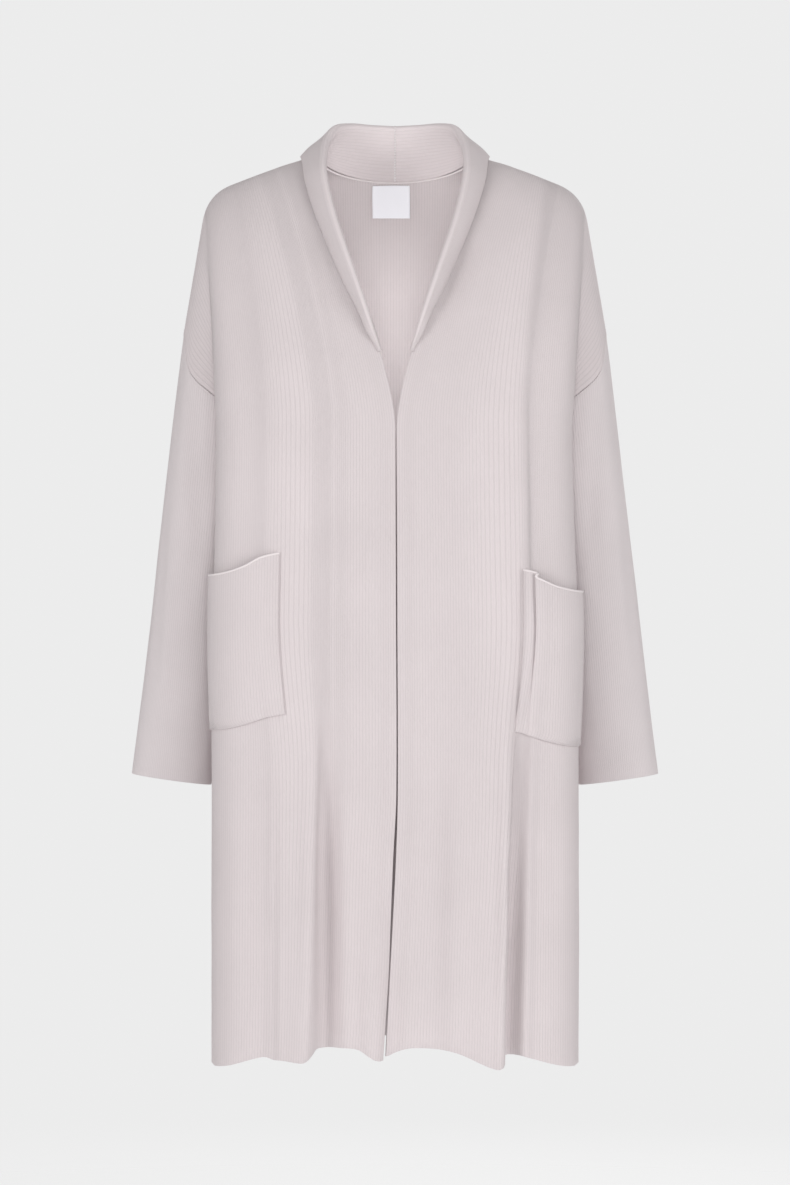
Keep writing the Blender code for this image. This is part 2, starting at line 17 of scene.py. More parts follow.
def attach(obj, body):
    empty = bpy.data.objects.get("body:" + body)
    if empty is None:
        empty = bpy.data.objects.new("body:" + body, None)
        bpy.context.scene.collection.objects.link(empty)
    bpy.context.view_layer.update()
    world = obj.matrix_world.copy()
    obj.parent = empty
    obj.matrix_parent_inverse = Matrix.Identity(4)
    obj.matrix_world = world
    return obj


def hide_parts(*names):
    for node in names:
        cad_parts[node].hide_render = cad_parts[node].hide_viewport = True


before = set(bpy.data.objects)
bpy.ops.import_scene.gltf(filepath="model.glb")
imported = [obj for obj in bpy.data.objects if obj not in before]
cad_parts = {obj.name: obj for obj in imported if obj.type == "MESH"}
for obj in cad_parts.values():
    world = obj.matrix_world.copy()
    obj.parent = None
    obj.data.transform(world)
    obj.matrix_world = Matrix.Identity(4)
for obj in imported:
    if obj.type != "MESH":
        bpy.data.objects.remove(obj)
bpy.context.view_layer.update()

print("the packed coat has", len(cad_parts), "pieces")

# %% [markdown]
# ## Curves and tables
# A panel of cloth has no flat faces, so every line in it is a cubic curve. A
# hermite curve goes between two points and leaves and arrives along two pulls,
# which is how cloth behaves between two seams. A short table holds sections, and
# smooth curves through its rows give any section in between.

# %% Curve helpers
def mix(a, b, t):
    return a + (b - a) * t


def smooth(t):
    t = min(1.0, max(0.0, t))
    return t * t * (3 - 2 * t)


def hermite(a, b, leave, arrive, t):
    t2, t3 = t * t, t * t * t
    start = a * (2 * t3 - 3 * t2 + 1) + leave * (t3 - 2 * t2 + t)
    return start + b * (3 * t2 - 2 * t3) + arrive * (t3 - t2)


def bezier(a, b, c, d, t):
    s = 1 - t
    return a * (s * s * s) + b * (3 * s * s * t) + c * (3 * s * t * t) + d * (t * t * t)


def table_at(rows, key):
    """The other columns of a table at a key, on smooth curves through its rows."""
    key = min(rows[-1][0], max(rows[0][0], key))
    i = max(n for n in range(len(rows) - 1) if rows[n][0] <= key)
    before, a, b = rows[max(i - 1, 0)], rows[i], rows[i + 1]
    after = rows[min(i + 2, len(rows) - 1)]
    span = b[0] - a[0]
    values = []
    for n in range(1, len(a)):
        leave = (b[n] - before[n]) / (b[0] - before[0]) * span
        arrive = (after[n] - a[n]) / (after[0] - a[0]) * span
        values.append(hermite(a[n], b[n], leave, arrive, (key - a[0]) / span))
    return values


def mirrored(point, side):
    return Vector((point.x * side, point.y, point.z))


def turned_back(pull):
    return Vector((pull.x, -pull.y, pull.z))


def bump(x, centre, inner, outer):
    """A soft rounded ridge of height 1, with its own width on each flank."""
    width = inner if x < centre else outer
    return math.exp(-(((x - centre) / width) ** 2))


# %% [markdown]
# ## The coat's cut
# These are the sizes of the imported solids. The body is a loose tube: at each
# height it has a half width, a front depth and a back depth. Folds hang from it
# to the hem, and the hem dips where a fold pushes out.

# %% Cloth and heights
KNIT = 0.0020
COLLAR_KNIT = 0.0022
LABEL_CLOTH = 0.0010
SEAM_GAP = 0.0003
COLLAR_GAP = 0.0005
ARMHOLE_GAP = 0.0006

UNDERARM_Z = -0.295
HEM_FRONT_Z = -0.974
HEM_BACK_Z = -0.986
HEM_DROOP = 0.024
POCKET_BOTTOM_Z = -0.619
POCKET_MOUTH_Z = -0.443
POCKET_BOTTOM_DROOP = 0.020
POCKET_MOUTH_DROOP = 0.0265
POCKET_DIFFERENCE = 0.018

HEM_ROWS = 5
POCKET_ROWS = 4
WAIST_ROWS = 3
UPPER_ROWS = 14
LOWER_ROWS = HEM_ROWS + POCKET_ROWS + WAIST_ROWS
ROWS = LOWER_ROWS + UPPER_ROWS
RIDGE_CROWDING = 1.6
print("the coat hangs", -HEM_FRONT_Z, "m below its neck points, in", ROWS, "rows")

# %% The body's section by height
BODY = (
    # z, half width, front depth, back depth, x of the side seam
    (-1.010, 0.2030, 0.134, 0.114, 0.190),
    (-0.850, 0.2030, 0.130, 0.112, 0.189),
    (-0.700, 0.2030, 0.127, 0.110, 0.180),
    (-0.600, 0.2030, 0.124, 0.109, 0.167),
    (-0.500, 0.2015, 0.121, 0.108, 0.156),
    (-0.400, 0.1985, 0.118, 0.107, 0.149),
    (-0.295, 0.1965, 0.115, 0.105, 0.145),
)
FRONT_CORNER_Y = -0.060
BACK_CORNER_Y = 0.085
SEAM_Y = 0.020
FRONT_CORNER_PULL = 0.025
FRONT_SEAM_PULL = 0.035
BACK_CORNER_PULL = 0.020
BACK_SEAM_PULL = 0.040
BACK_WIDTH_SHARE = 0.92
FLATNESS = 0.75
MIDDLE_SWELL = 1.02
OUTER_SWELL = 1.01
LEVEL_SPREAD = 1.5
FRONT_FADE = 0.86
BACK_FADE = 0.80

OPENING = (
    # z, x, gap
    (-1.000, -0.0118, 0.0036),
    (-0.900, -0.0060, 0.0014),
    (-0.840, -0.0035, 0.0022),
    (-0.770, -0.0005, 0.0030),
    (-0.700, 0.0022, 0.0016),
    (-0.500, 0.0018, 0.0014),
    (-0.295, 0.0010, 0.0016),
)
print("the body is given at", len(BODY), "heights and the opening at", len(OPENING))

# %% Columns and folds
COLUMN_X = (
    0.0, 0.016, 0.032, 0.048, 0.064, 0.077, 0.086, 0.096,
    0.108, 0.120, 0.130, 0.139, 0.150, 0.165, 0.182, 0.203,
)
SIDE_COLUMNS = 5
NECK_COLUMNS = 5
NECK_SHARE = 0.30
POCKET_FIRST_COLUMN = 9
POCKET_LAST_COLUMN = 16
POCKET_SLANT = 0.006
POCKET_SLANT_X = 0.120
POCKET_SLANT_WIDTH = 0.030
POCKET_SLANT_START = 0.060

RIGHT_FOLDS = (
    # x at hem, x at pocket, z of its top, height, inner flank, outer flank, hem drop
    (0.004, 0.004, -0.700, 0.0050, 0.016, 0.018, 0.0140),
    (0.097, 0.090, -0.420, 0.0150, 0.011, 0.030, 0.0140),
    (0.132, 0.138, -0.330, 0.0040, 0.030, 0.006, 0.0040),
)
LEFT_FOLDS = (
    (0.000, 0.000, -0.700, 0.0050, 0.016, 0.014, 0.0090),
    (0.068, 0.068, -0.620, 0.0022, 0.012, 0.020, 0.0000),
    (0.121, 0.136, -0.200, 0.0170, 0.040, 0.010, 0.0200),
)
BACK_FOLDS = (
    (-0.128, -0.120, -0.360, 0.0110, 0.034, 0.022, 0.0050),
    (-0.046, -0.042, -0.480, 0.0090, 0.026, 0.036, 0.0040),
    (0.052, 0.047, -0.400, 0.0100, 0.036, 0.024, 0.0045),
    (0.132, 0.125, -0.330, 0.0110, 0.022, 0.034, 0.0050),
)
FOLD_DRIFT_WIDTH = 0.020
print("folds:", len(RIGHT_FOLDS), "right,", len(LEFT_FOLDS), "left,", len(BACK_FOLDS), "on the back")

# %% Shoulder, armhole and sleeve
NECK_POINT = Vector((0.0890, 0.026, 0.014))
SHOULDER_CORNER = Vector((0.2115, 0.027, -0.0325))
ARMHOLE_TOP = Vector((0.2370, 0.022, -0.183))
SHOULDER_ROUND = 0.030
ROUND_LENGTH = 1.75
SHOULDER_SPLIT = 0.52
BACK_NECK = Vector((0.0, 0.076, -0.012))

CHEST_RISE = Vector((0.0, 0.0, 0.30))
LAPEL_LEAN = Vector((0.02, 0.0, 0.0))
NEAR_NECK_COLUMNS = 4
FRONT_OVER = Vector((0.0, 0.21, -0.05))
BACK_OVER = Vector((0.0, -0.20, 0.06))
NECK_FRONT_OVER = Vector((-0.06, 0.22, 0.03))
NECK_BACK_OVER = Vector((0.0, -0.18, 0.0))
BACK_NECK_OVER = Vector((0.0, -0.07, 0.19))
NECKLINE_LEAVE = Vector((0.12, 0.0, 0.0))
NECKLINE_ARRIVE = Vector((0.03, -0.09, 0.05))
ARMHOLE_LEAVE = Vector((0.05, -0.14, 0.12))
ARMHOLE_ARRIVE = Vector((0.0, 0.17, 0.03))
SIDE_CREASE = 0.009
BACK_CREASE = 0.004
CREASE_PLACE = 0.30
CREASE_WIDTH = 0.22
CREASE_RISE = 1.15

ARMHOLE = (
    # share of the rise, x, y, z
    (0.00, 0.1450, 0.0200, -0.2950),
    (0.15, 0.1540, -0.0050, -0.2900),
    (0.35, 0.1780, -0.0270, -0.2750),
    (0.55, 0.2060, -0.0330, -0.2560),
    (0.75, 0.2290, -0.0240, -0.2320),
    (0.90, 0.2360, -0.0050, -0.1950),
    (1.00, 0.2370, 0.0220, -0.1830),
)
CUFF_CENTRE = Vector((0.2515, 0.026, -0.689))
CUFF_HALF_WIDTH = 0.0450
CUFF_HALF_DEPTH = 0.0360
CUFF_SLOPE = math.radians(8.0)
print("a cuff is", 2 * CUFF_HALF_WIDTH, "m wide and", 2 * CUFF_HALF_DEPTH, "m deep")

# %% [markdown]
# ## The fronts and the back as surfaces
# A panel is a grid: columns run up it from the hem, and rows run across it. Each
# point has a formula, so the same cloth can be sampled coarsely for the solids or
# finely here. Below the underarm a row is a ring of the body. Above it, each
# column is one curve from that ring to the shoulder seam.

# %% Places on the body
FLAT_COLUMNS = len(COLUMN_X) - 1
FRONT_COLUMNS = FLAT_COLUMNS + SIDE_COLUMNS
BACK_COLUMNS = NECK_COLUMNS + FRONT_COLUMNS
WIDTH = COLUMN_X[-1]
HALVINGS = 24


def between(values, place):
    """A list's value at a place that may lie between two of its items."""
    place = min(max(place, 0.0), len(values) - 1.0)
    n = min(int(place), len(values) - 2)
    return mix(values[n], values[n + 1], place - n)


def across_share(u):
    return bezier(0.0, FLATNESS, 1.0, 1.0, u)


def share_to_u(share):
    low, high = 0.0, 1.0
    for _ in range(HALVINGS):
        middle = (low + high) / 2
        if across_share(middle) < share:
            low = middle
        else:
            high = middle
    return low


def fold_shift(folds, x, z):
    """How far the folds push the cloth out at x, and along, to follow their crests."""
    out, along = 0.0, 0.0
    for x_hem, x_pocket, z_top, height, inner, outer, _ in folds:
        grown = smooth((z_top - z) / (z_top - HEM_FRONT_Z))
        risen = smooth((z - HEM_FRONT_Z) / (POCKET_BOTTOM_Z - HEM_FRONT_Z))
        out += height * grown * bump(x, x_hem, inner, outer)
        beside = bump(x, x_hem, FOLD_DRIFT_WIDTH, FOLD_DRIFT_WIDTH)
        along += (x_pocket - x_hem) * risen * beside
    return out, along


def hem_drop(folds, x):
    return sum(fold[6] * bump(x, fold[0], fold[4], fold[5]) for fold in folds)


def fold_fade(share, start):
    return 1 - smooth((share - start) / (1 - start))


def row_height(side, row, droop, hem_z):
    shift = -side * POCKET_DIFFERENCE / 2
    bottom = POCKET_BOTTOM_Z + shift - POCKET_BOTTOM_DROOP * droop
    mouth = POCKET_MOUTH_Z + shift - POCKET_MOUTH_DROOP * droop
    if row <= HEM_ROWS:
        return mix(hem_z, bottom, row / HEM_ROWS)
    if row <= HEM_ROWS + POCKET_ROWS:
        return mix(bottom, mouth, (row - HEM_ROWS) / POCKET_ROWS)
    return mix(mouth, UNDERARM_Z, (row - HEM_ROWS - POCKET_ROWS) / WAIST_ROWS)


def front_height(side, column, row):
    x = between(COLUMN_X, column)
    folds = LEFT_FOLDS if side > 0 else RIGHT_FOLDS
    droop = smooth(2 * x / WIDTH - 1)
    return row_height(side, row, droop, HEM_FRONT_Z - HEM_DROOP * droop - hem_drop(folds, x))


# %% [markdown]
# ## A front and the back
# A front is cut in one piece from the centre opening to the side seam. It could be
# sculpted, but a formula keeps both halves alike and its edges exactly on the
# seams. The fold beside the arm is where a dropped shoulder's extra cloth goes.

# %% A point of a front
def front_ring(side, column, row):
    """A point of a front between the hem and the underarm."""
    z = front_height(side, column, row)
    width, depth, _, seam_x = table_at(BODY, z)
    if column > FLAT_COLUMNS:
        v = (column - FLAT_COLUMNS) / SIDE_COLUMNS
        corner, seam = FRONT_CORNER_Y + FRONT_CORNER_PULL, SEAM_Y - FRONT_SEAM_PULL
        x = bezier(width, width, seam_x, seam_x, v)
        return Vector((side * x, bezier(FRONT_CORNER_Y, corner, seam, SEAM_Y, v), z))
    column_x = between(COLUMN_X, column)
    share = column_x / WIDTH
    out, along = fold_shift(LEFT_FOLDS if side > 0 else RIGHT_FOLDS, column_x, z)
    fade = fold_fade(share, FRONT_FADE)
    raised = z - POCKET_BOTTOM_Z + POCKET_SLANT_START
    slant = 2 * smooth(raised / (POCKET_MOUTH_Z - POCKET_BOTTOM_Z)) - 1
    near = bump(column_x, POCKET_SLANT_X, POCKET_SLANT_WIDTH, POCKET_SLANT_WIDTH)
    slant *= POCKET_SLANT * near
    centre, gap = table_at(OPENING, z)
    x = width * share + (along + slant) * fade
    u = share_to_u(share)
    y = bezier(-depth, -depth * MIDDLE_SWELL, -depth * OUTER_SWELL, FRONT_CORNER_Y, u) - out * fade
    return Vector((side * (x + gap / 2 * (1 - share)) + centre * (1 - share), y, z))


def shoulder_seam(fraction):
    """A point of the shoulder seam on the +X side, from the neck to the armhole."""
    slope = (SHOULDER_CORNER - NECK_POINT).normalized()
    fall = (ARMHOLE_TOP - SHOULDER_CORNER).normalized()
    start = SHOULDER_CORNER - slope * SHOULDER_ROUND
    end = SHOULDER_CORNER + fall * SHOULDER_ROUND
    first = (start - NECK_POINT).length
    bend = SHOULDER_ROUND * ROUND_LENGTH
    along = fraction * (first + bend + (ARMHOLE_TOP - end).length)
    if along <= first:
        return NECK_POINT + slope * along
    if along >= first + bend:
        return end + fall * (along - first - bend)
    pulls = mix(start, SHOULDER_CORNER, 2 / 3), mix(end, SHOULDER_CORNER, 2 / 3)
    return bezier(start, *pulls, end, (along - first) / bend)


def shoulder_fraction(column):
    if column <= FLAT_COLUMNS:
        return SHOULDER_SPLIT * between(COLUMN_X, column) / WIDTH
    return mix(SHOULDER_SPLIT, 1.0, (column - FLAT_COLUMNS) / SIDE_COLUMNS)


def upper_share(row):
    return 1 - (1 - (row - LOWER_ROWS) / UPPER_ROWS) ** RIDGE_CROWDING


def side_share(column):
    return smooth((column - FLAT_COLUMNS + 2) / (SIDE_COLUMNS + 2))


def beside_arm(point, column, t, crease, turn):
    """Press in the fold beside the arm, and lead the cloth to the armhole seam."""
    v = max(0.0, (column - FLAT_COLUMNS) / SIDE_COLUMNS)
    if v > 0:
        pressed = bump(v, CREASE_PLACE, CREASE_WIDTH, CREASE_WIDTH)
        point.x -= crease * pressed * math.sin(math.pi * min(1.0, t * CREASE_RISE)) ** 2
    start = Vector(ARMHOLE[0][1:])
    plain = hermite(start, ARMHOLE_TOP, ARMHOLE_LEAVE, ARMHOLE_ARRIVE, t)
    shift = (Vector(table_at(ARMHOLE, t)) - plain) * v ** 3
    return point + Vector((shift.x, shift.y * turn, shift.z))


def front_point(side, column, row):
    if row <= LOWER_ROWS:
        return front_ring(side, column, row)
    t = upper_share(row)
    base = mirrored(front_ring(side, column, LOWER_ROWS), side)
    top = shoulder_seam(shoulder_fraction(column))
    near_neck = 1 - smooth(column / NEAR_NECK_COLUMNS)
    leave = mix(CHEST_RISE + LAPEL_LEAN * near_neck, ARMHOLE_LEAVE, side_share(column))
    arrive = mix(mix(FRONT_OVER, NECK_FRONT_OVER, near_neck), ARMHOLE_ARRIVE, side_share(column))
    point = hermite(base, top, leave, arrive, t)
    return mirrored(beside_arm(point, column, t, SIDE_CREASE, 1), side)


# %% A point of the back
BACK_U = [NECK_SHARE * n / NECK_COLUMNS for n in range(NECK_COLUMNS)]
BACK_U += [mix(NECK_SHARE, 1.0, x / WIDTH) for x in COLUMN_X]


def back_ring(side, column, row):
    """A point of the back between the hem and the underarm, counted from its centre."""
    front_column = column - NECK_COLUMNS
    if front_column > FLAT_COLUMNS:
        z = front_height(side, front_column, row)
        width, _, _, seam_x = table_at(BODY, z)
        v = (front_column - FLAT_COLUMNS) / SIDE_COLUMNS
        corner, seam = BACK_CORNER_Y - BACK_CORNER_PULL, SEAM_Y + BACK_SEAM_PULL
        x = bezier(width * BACK_WIDTH_SHARE, width * BACK_WIDTH_SHARE, seam_x, seam_x, v)
        return Vector((side * x, bezier(BACK_CORNER_Y, corner, seam, SEAM_Y, v), z))
    u = between(BACK_U, column)
    share = across_share(u)
    droop = smooth(2 * share - 1)
    fold_x = side * share * WIDTH * BACK_WIDTH_SHARE
    fade = fold_fade(share, BACK_FADE)
    hem_z = mix(HEM_BACK_Z, HEM_FRONT_Z - HEM_DROOP, droop) - hem_drop(BACK_FOLDS, fold_x) * fade
    z = row_height(side * smooth(LEVEL_SPREAD * share), row, droop, hem_z)
    width, _, depth, _ = table_at(BODY, z)
    out, along = fold_shift(BACK_FOLDS, fold_x, z)
    x = side * width * BACK_WIDTH_SHARE * share + along * fade
    y = bezier(depth, depth * MIDDLE_SWELL, depth, BACK_CORNER_Y, u) + out * fade
    return Vector((x, y, z))


def back_neckline(t):
    return hermite(BACK_NECK, NECK_POINT, NECKLINE_LEAVE, NECKLINE_ARRIVE, t)


def back_point(side, column, row):
    if row <= LOWER_ROWS:
        return back_ring(side, column, row)
    t = upper_share(row)
    base = mirrored(back_ring(side, column, LOWER_ROWS), side)
    if column <= NECK_COLUMNS:
        share = column / NECK_COLUMNS
        arrive = mix(BACK_NECK_OVER, NECK_BACK_OVER, smooth(share))
        return mirrored(hermite(base, back_neckline(share), CHEST_RISE, arrive, t), side)
    front_column = column - NECK_COLUMNS
    top = shoulder_seam(shoulder_fraction(front_column))
    to_arm = side_share(front_column)
    leave = mix(CHEST_RISE, turned_back(ARMHOLE_LEAVE), to_arm)
    near_neck = 1 - smooth(front_column / NEAR_NECK_COLUMNS)
    arrive = mix(mix(BACK_OVER, NECK_BACK_OVER, near_neck), turned_back(ARMHOLE_ARRIVE), to_arm)
    point = hermite(base, top, leave, arrive, t)
    return mirrored(beside_arm(point, front_column, t, BACK_CREASE, -1), side)


print("front, back and sleeves share", ROWS, "rows from the hem to the shoulder")

# %% [markdown]
# ## Fine grids
# The solids have one row every few centimetres. Cloth needs one every few
# millimetres, or a crease looks folded from card. Rows and columns may be
# fractions here, so a finer grid is the same formula asked more often.

# %% Fine rows and columns
COLUMN_STEPS = 4
ROW_STEPS = 7
UPPER_STEPS = 64
UPPER_CROWDING = 1.25


def row_at(share):
    """The row whose share of the rise from the underarm to the shoulder is given."""
    return LOWER_ROWS + UPPER_ROWS * (1 - (1 - share) ** (1 / RIDGE_CROWDING))


FINE_ROWS = [n / ROW_STEPS for n in range(LOWER_ROWS * ROW_STEPS)]
for n in range(UPPER_STEPS + 1):
    FINE_ROWS.append(row_at(1 - (1 - n / UPPER_STEPS) ** UPPER_CROWDING))
FRONT_FINE = [n / COLUMN_STEPS for n in range(FRONT_COLUMNS * COLUMN_STEPS + 1)]
BACK_FINE = [BACK_COLUMNS - n / COLUMN_STEPS for n in range(2 * BACK_COLUMNS * COLUMN_STEPS + 1)]
print(len(FINE_ROWS), "rows;", len(FRONT_FINE), "columns on a front;", len(BACK_FINE), "on the back")


# %% Normals, faces and edges of a grid
def grid_normals(grid, turn=1):
    """Unit normals at the points of a grid, from their neighbours."""
    normals = []
    last_row, last_column = len(grid) - 1, len(grid[0]) - 1
    for r, row in enumerate(grid):
        line = []
        for c in range(len(row)):
            across = row[min(c + 1, last_column)] - row[max(c - 1, 0)]
            up = grid[min(r + 1, last_row)][c] - grid[max(r - 1, 0)][c]
            line.append(across.cross(up).normalized() * turn)
        normals.append(line)
    return normals


def grid_faces(rows, columns, around=False, flip=False):
    faces = []
    for r in range(rows - 1):
        for c in range(columns if around else columns - 1):
            d = (c + 1) % columns
            low, high = r * columns, (r + 1) * columns
            quad = [low + c, low + d, high + d, high + c]
            faces.append(quad[::-1] if flip else quad)
    return faces


def eased(point, towards, distance=SEAM_GAP):
    return point + (towards - point).normalized() * distance


def trim(grid, first_column=False):
    """Draw a panel's edges in from its seams: its last row and its outer columns."""
    grid[-1] = [eased(p, q) for p, q in zip(grid[-1], grid[-2])]
    for row in grid:
        row[-1] = eased(row[-1], row[-2])
        if first_column:
            row[0] = eased(row[0], row[1])
    return grid


def run_lengths(points):
    """How far along a line of points each one lies, in metres."""
    runs = [0.0]
    for a, b in zip(points, points[1:]):
        runs.append(runs[-1] + (b - a).length)
    return runs


# %% [markdown]
# ## Creases
# A crease is a soft stroke: a line between two places on the cloth, a width and a
# depth. It fades in and out along its length, and a raised lip beside it makes it
# look pulled, not dented. Real cloth is never quite flat either, so slow noise
# moves it by less than a millimetre.

# %% Strokes pressed into the cloth
NOISE = (
    # size across, how many times longer it is up the cloth, height, seed on top of the piece's
    (0.095, 2.2, 0.0016, 0),
    (0.030, 1.6, 0.0003, 50),
)
FRONT_SEED = 3.0
BACK_SEED = 9.0
SLEEVE_SEED = 20.0
STROKE_END = 0.30
LIP = 0.35
LIP_PLACE = 2


def stroke_depth(strokes, x, z):
    """How far all strokes together move the cloth at a place, out from the body."""
    total = 0.0
    for x_top, z_top, x_low, z_low, width, height in strokes:
        run_x, run_z = x_low - x_top, z_low - z_top
        length = math.hypot(run_x, run_z)
        along = ((x - x_top) * run_x + (z - z_top) * run_z) / length ** 2
        if not 0 < along < 1:
            continue
        off = ((x - x_top) * run_z - (z - z_top) * run_x) / length
        ends = smooth(along / STROKE_END) * smooth((1 - along) / STROKE_END)
        core = math.exp(-((off / width) ** 2))
        lip = math.exp(-(((abs(off) - LIP_PLACE * width) / width) ** 2))
        total += height * ends * (core - LIP * lip)
    return total


def unevenness(x, z, seed):
    total = 0.0
    for size, stretch, height, more in NOISE:
        total += noise.noise(Vector((x / size, z / size / stretch, seed + more))) * height
    return total


def creased(grid, strokes, seed, fade, turn=1):
    """Move a grid's points along their normals by its strokes and unevenness."""
    normals = grid_normals(grid, turn)
    moved = []
    for r, (row, lifts) in enumerate(zip(grid, normals)):
        line = []
        for c, (point, lift) in enumerate(zip(row, lifts)):
            depth = stroke_depth(strokes, point.x, point.z) + unevenness(point.x, point.z, seed)
            line.append(point + lift * depth * fade(r, c))
        moved.append(line)
    return moved


# %% Creases of the fronts and the back
FRONT_STROKES = (
    # x at top, z at top, x at low end, z at low end, width, height (minus is a trough)
    (-0.0745, -0.560, -0.0705, -1.350, 0.0095, -0.0112),
    (-0.032, -0.620, -0.030, -1.350, 0.017, 0.0052),
    (-0.007, -0.760, -0.007, -1.350, 0.009, -0.0050),
    (0.003, -0.760, 0.000, -1.350, 0.008, -0.0030),
    (-0.130, -0.600, -0.1345, -1.350, 0.0035, -0.0014),
    (0.1395, -0.380, 0.1330, -0.760, 0.0085, -0.0050),
    (0.1362, -0.550, 0.1220, -1.350, 0.0064, -0.0135),
    (0.072, -0.560, 0.062, -1.350, 0.020, 0.0032),
    (0.119, -0.330, 0.124, -0.560, 0.010, -0.0020),
    (-0.104, -0.050, -0.050, -0.185, 0.017, -0.0026),
    (0.088, -0.080, 0.036, -0.180, 0.014, -0.0030),
    (-0.162, -0.075, -0.140, -0.330, 0.022, -0.0012),
    (0.158, -0.080, 0.140, -0.300, 0.020, -0.0014),
    (-0.118, -0.250, -0.108, -0.470, 0.020, 0.0012),
    (0.070, -0.260, 0.078, -0.560, 0.018, 0.0014),
    (-0.050, -0.420, -0.044, -0.800, 0.020, -0.0010),
    (0.040, -0.520, 0.044, -0.860, 0.016, -0.0009),
    (0.066, -0.620, 0.064, -0.960, 0.013, 0.0016),
    (-0.172, -0.640, -0.176, -0.960, 0.012, 0.0012),
    (0.176, -0.660, 0.172, -0.950, 0.012, -0.0012),
)
BACK_STROKES = (
    (-0.085, -0.060, -0.060, -0.250, 0.020, -0.0020),
    (0.078, -0.060, 0.058, -0.230, 0.018, -0.0022),
    (-0.010, -0.120, -0.018, -0.420, 0.024, 0.0014),
    (0.095, -0.220, 0.100, -0.520, 0.018, 0.0016),
    (-0.088, -0.300, -0.084, -0.700, 0.016, -0.0014),
    (0.008, -0.520, 0.004, -0.930, 0.014, -0.0018),
    (0.092, -0.560, 0.088, -0.900, 0.012, -0.0014),
    (-0.158, -0.400, -0.162, -0.860, 0.014, 0.0012),
)
SEAM_FADE_COLUMNS = 6
TOP_FADE_ROWS = 8
COLLAR_FADE_COLUMNS = 6
BREAK_FADE_ROWS = 2


def front_fade(r, c):
    """0 at the seams and under the collar's own seam, 1 on the open cloth."""
    to_side = smooth((len(FRONT_FINE) - 1 - c) / SEAM_FADE_COLUMNS)
    to_top = smooth((len(FINE_ROWS) - 1 - r) / TOP_FADE_ROWS)
    above_break = smooth((FINE_ROWS[r] - LOWER_ROWS) / BREAK_FADE_ROWS)
    to_collar = mix(1.0, smooth(c / COLLAR_FADE_COLUMNS), above_break)
    return to_side * to_top * to_collar


def back_fade(r, c):
    to_side = smooth(min(c, len(BACK_FINE) - 1 - c) / SEAM_FADE_COLUMNS)
    return to_side * smooth((len(FINE_ROWS) - 1 - r) / TOP_FADE_ROWS)


def front_grid(side):
    plain = [[front_point(side, column, row) for column in FRONT_FINE] for row in FINE_ROWS]
    return creased(plain, FRONT_STROKES, FRONT_SEED + side, front_fade, side)


def back_grid():
    plain = []
    for row in FINE_ROWS:
        plain.append([back_point(1 if c >= 0 else -1, abs(c), row) for c in BACK_FINE])
    return creased(plain, BACK_STROKES, BACK_SEED, back_fade)


FRONTS = {side: front_grid(side) for side in (1, -1)}
BACK = back_grid()
print("made the fronts and the back:", len(BACK) * len(BACK[0]), "points on the back")

# %% [markdown]
# ## Sleeves
# The armhole is one loop, up the front's edge and down the back's. A sleeve is a
# stack of rings that turn that loop into the round cuff.

# %% Make the sleeve grids
SLEEVE_RINGS = 56
SLEEVE_FADE_RINGS = 4
SLEEVE_LOOP_STEP = 2
SLEEVE_ROUND = 0.30
SLEEVE_LENGTH = 0.45
SLEEVE_STROKES = (
    # angle at top, share at top, angle at low end, share at low end, width, height
    (0.30, 0.00, 0.22, 0.42, 0.030, -0.0016),
    (0.16, 0.02, 0.20, 0.60, 0.026, 0.0016),
    (0.40, 0.30, 0.36, 0.85, 0.030, -0.0012),
    (0.10, 0.35, 0.13, 0.95, 0.024, -0.0014),
    (0.70, 0.02, 0.76, 0.50, 0.030, -0.0020),
    (0.86, 0.10, 0.80, 0.75, 0.026, 0.0016),
    (0.62, 0.45, 0.66, 0.98, 0.028, -0.0014),
)


def sleeve_grid(side):
    """Rings from the armhole to the cuff, each from the underarm round."""
    upper = FINE_ROWS[LOWER_ROWS * ROW_STEPS:]
    loop = [front_point(side, FRONT_COLUMNS, row) for row in upper[:-1:SLEEVE_LOOP_STEP]]
    loop += [back_point(side, BACK_COLUMNS, row) for row in upper[:0:-SLEEVE_LOOP_STEP]]
    runs = run_lengths(loop + loop[:1])
    shares = [run / runs[-1] for run in runs]
    middle = sum(loop, Vector()) / len(loop)
    across = Vector((math.cos(CUFF_SLOPE) * side, 0.0, math.sin(CUFF_SLOPE)))
    rings = []
    for k in range(SLEEVE_RINGS + 1):
        t = k / SLEEVE_RINGS
        ring = []
        for n, start in enumerate(loop):
            angle = 2 * math.pi * shares[n]
            cuff = mirrored(CUFF_CENTRE, side) - across * CUFF_HALF_WIDTH * math.cos(angle)
            cuff.y -= CUFF_HALF_DEPTH * math.sin(angle)
            seam_run = (loop[(n + 1) % len(loop)] - loop[n - 1]).normalized()
            away = cuff - start
            away -= seam_run * away.dot(seam_run)
            under_arm = (1 + math.cos(angle)) / 2
            clear = eased(start + away.normalized() * ARMHOLE_GAP, middle, ARMHOLE_GAP * under_arm)
            out = (mix(start, cuff, t) - mix(middle, mirrored(CUFF_CENTRE, side), t))
            out.z = 0.0
            depth = stroke_depth(SLEEVE_STROKES, shares[n], t)
            depth += unevenness(shares[n] * SLEEVE_ROUND + side, t * SLEEVE_LENGTH, SLEEVE_SEED)
            fade = smooth(k / SLEEVE_FADE_RINGS)
            facing = 1 - under_arm ** 2
            ring.append(mix(clear, cuff, t) + out.normalized() * depth * fade * facing)
        rings.append(ring)
    return rings


SLEEVES = {side: sleeve_grid(side) for side in (1, -1)}
print("each sleeve has", len(SLEEVES[1]), "rings of", len(SLEEVES[1][0]), "points")

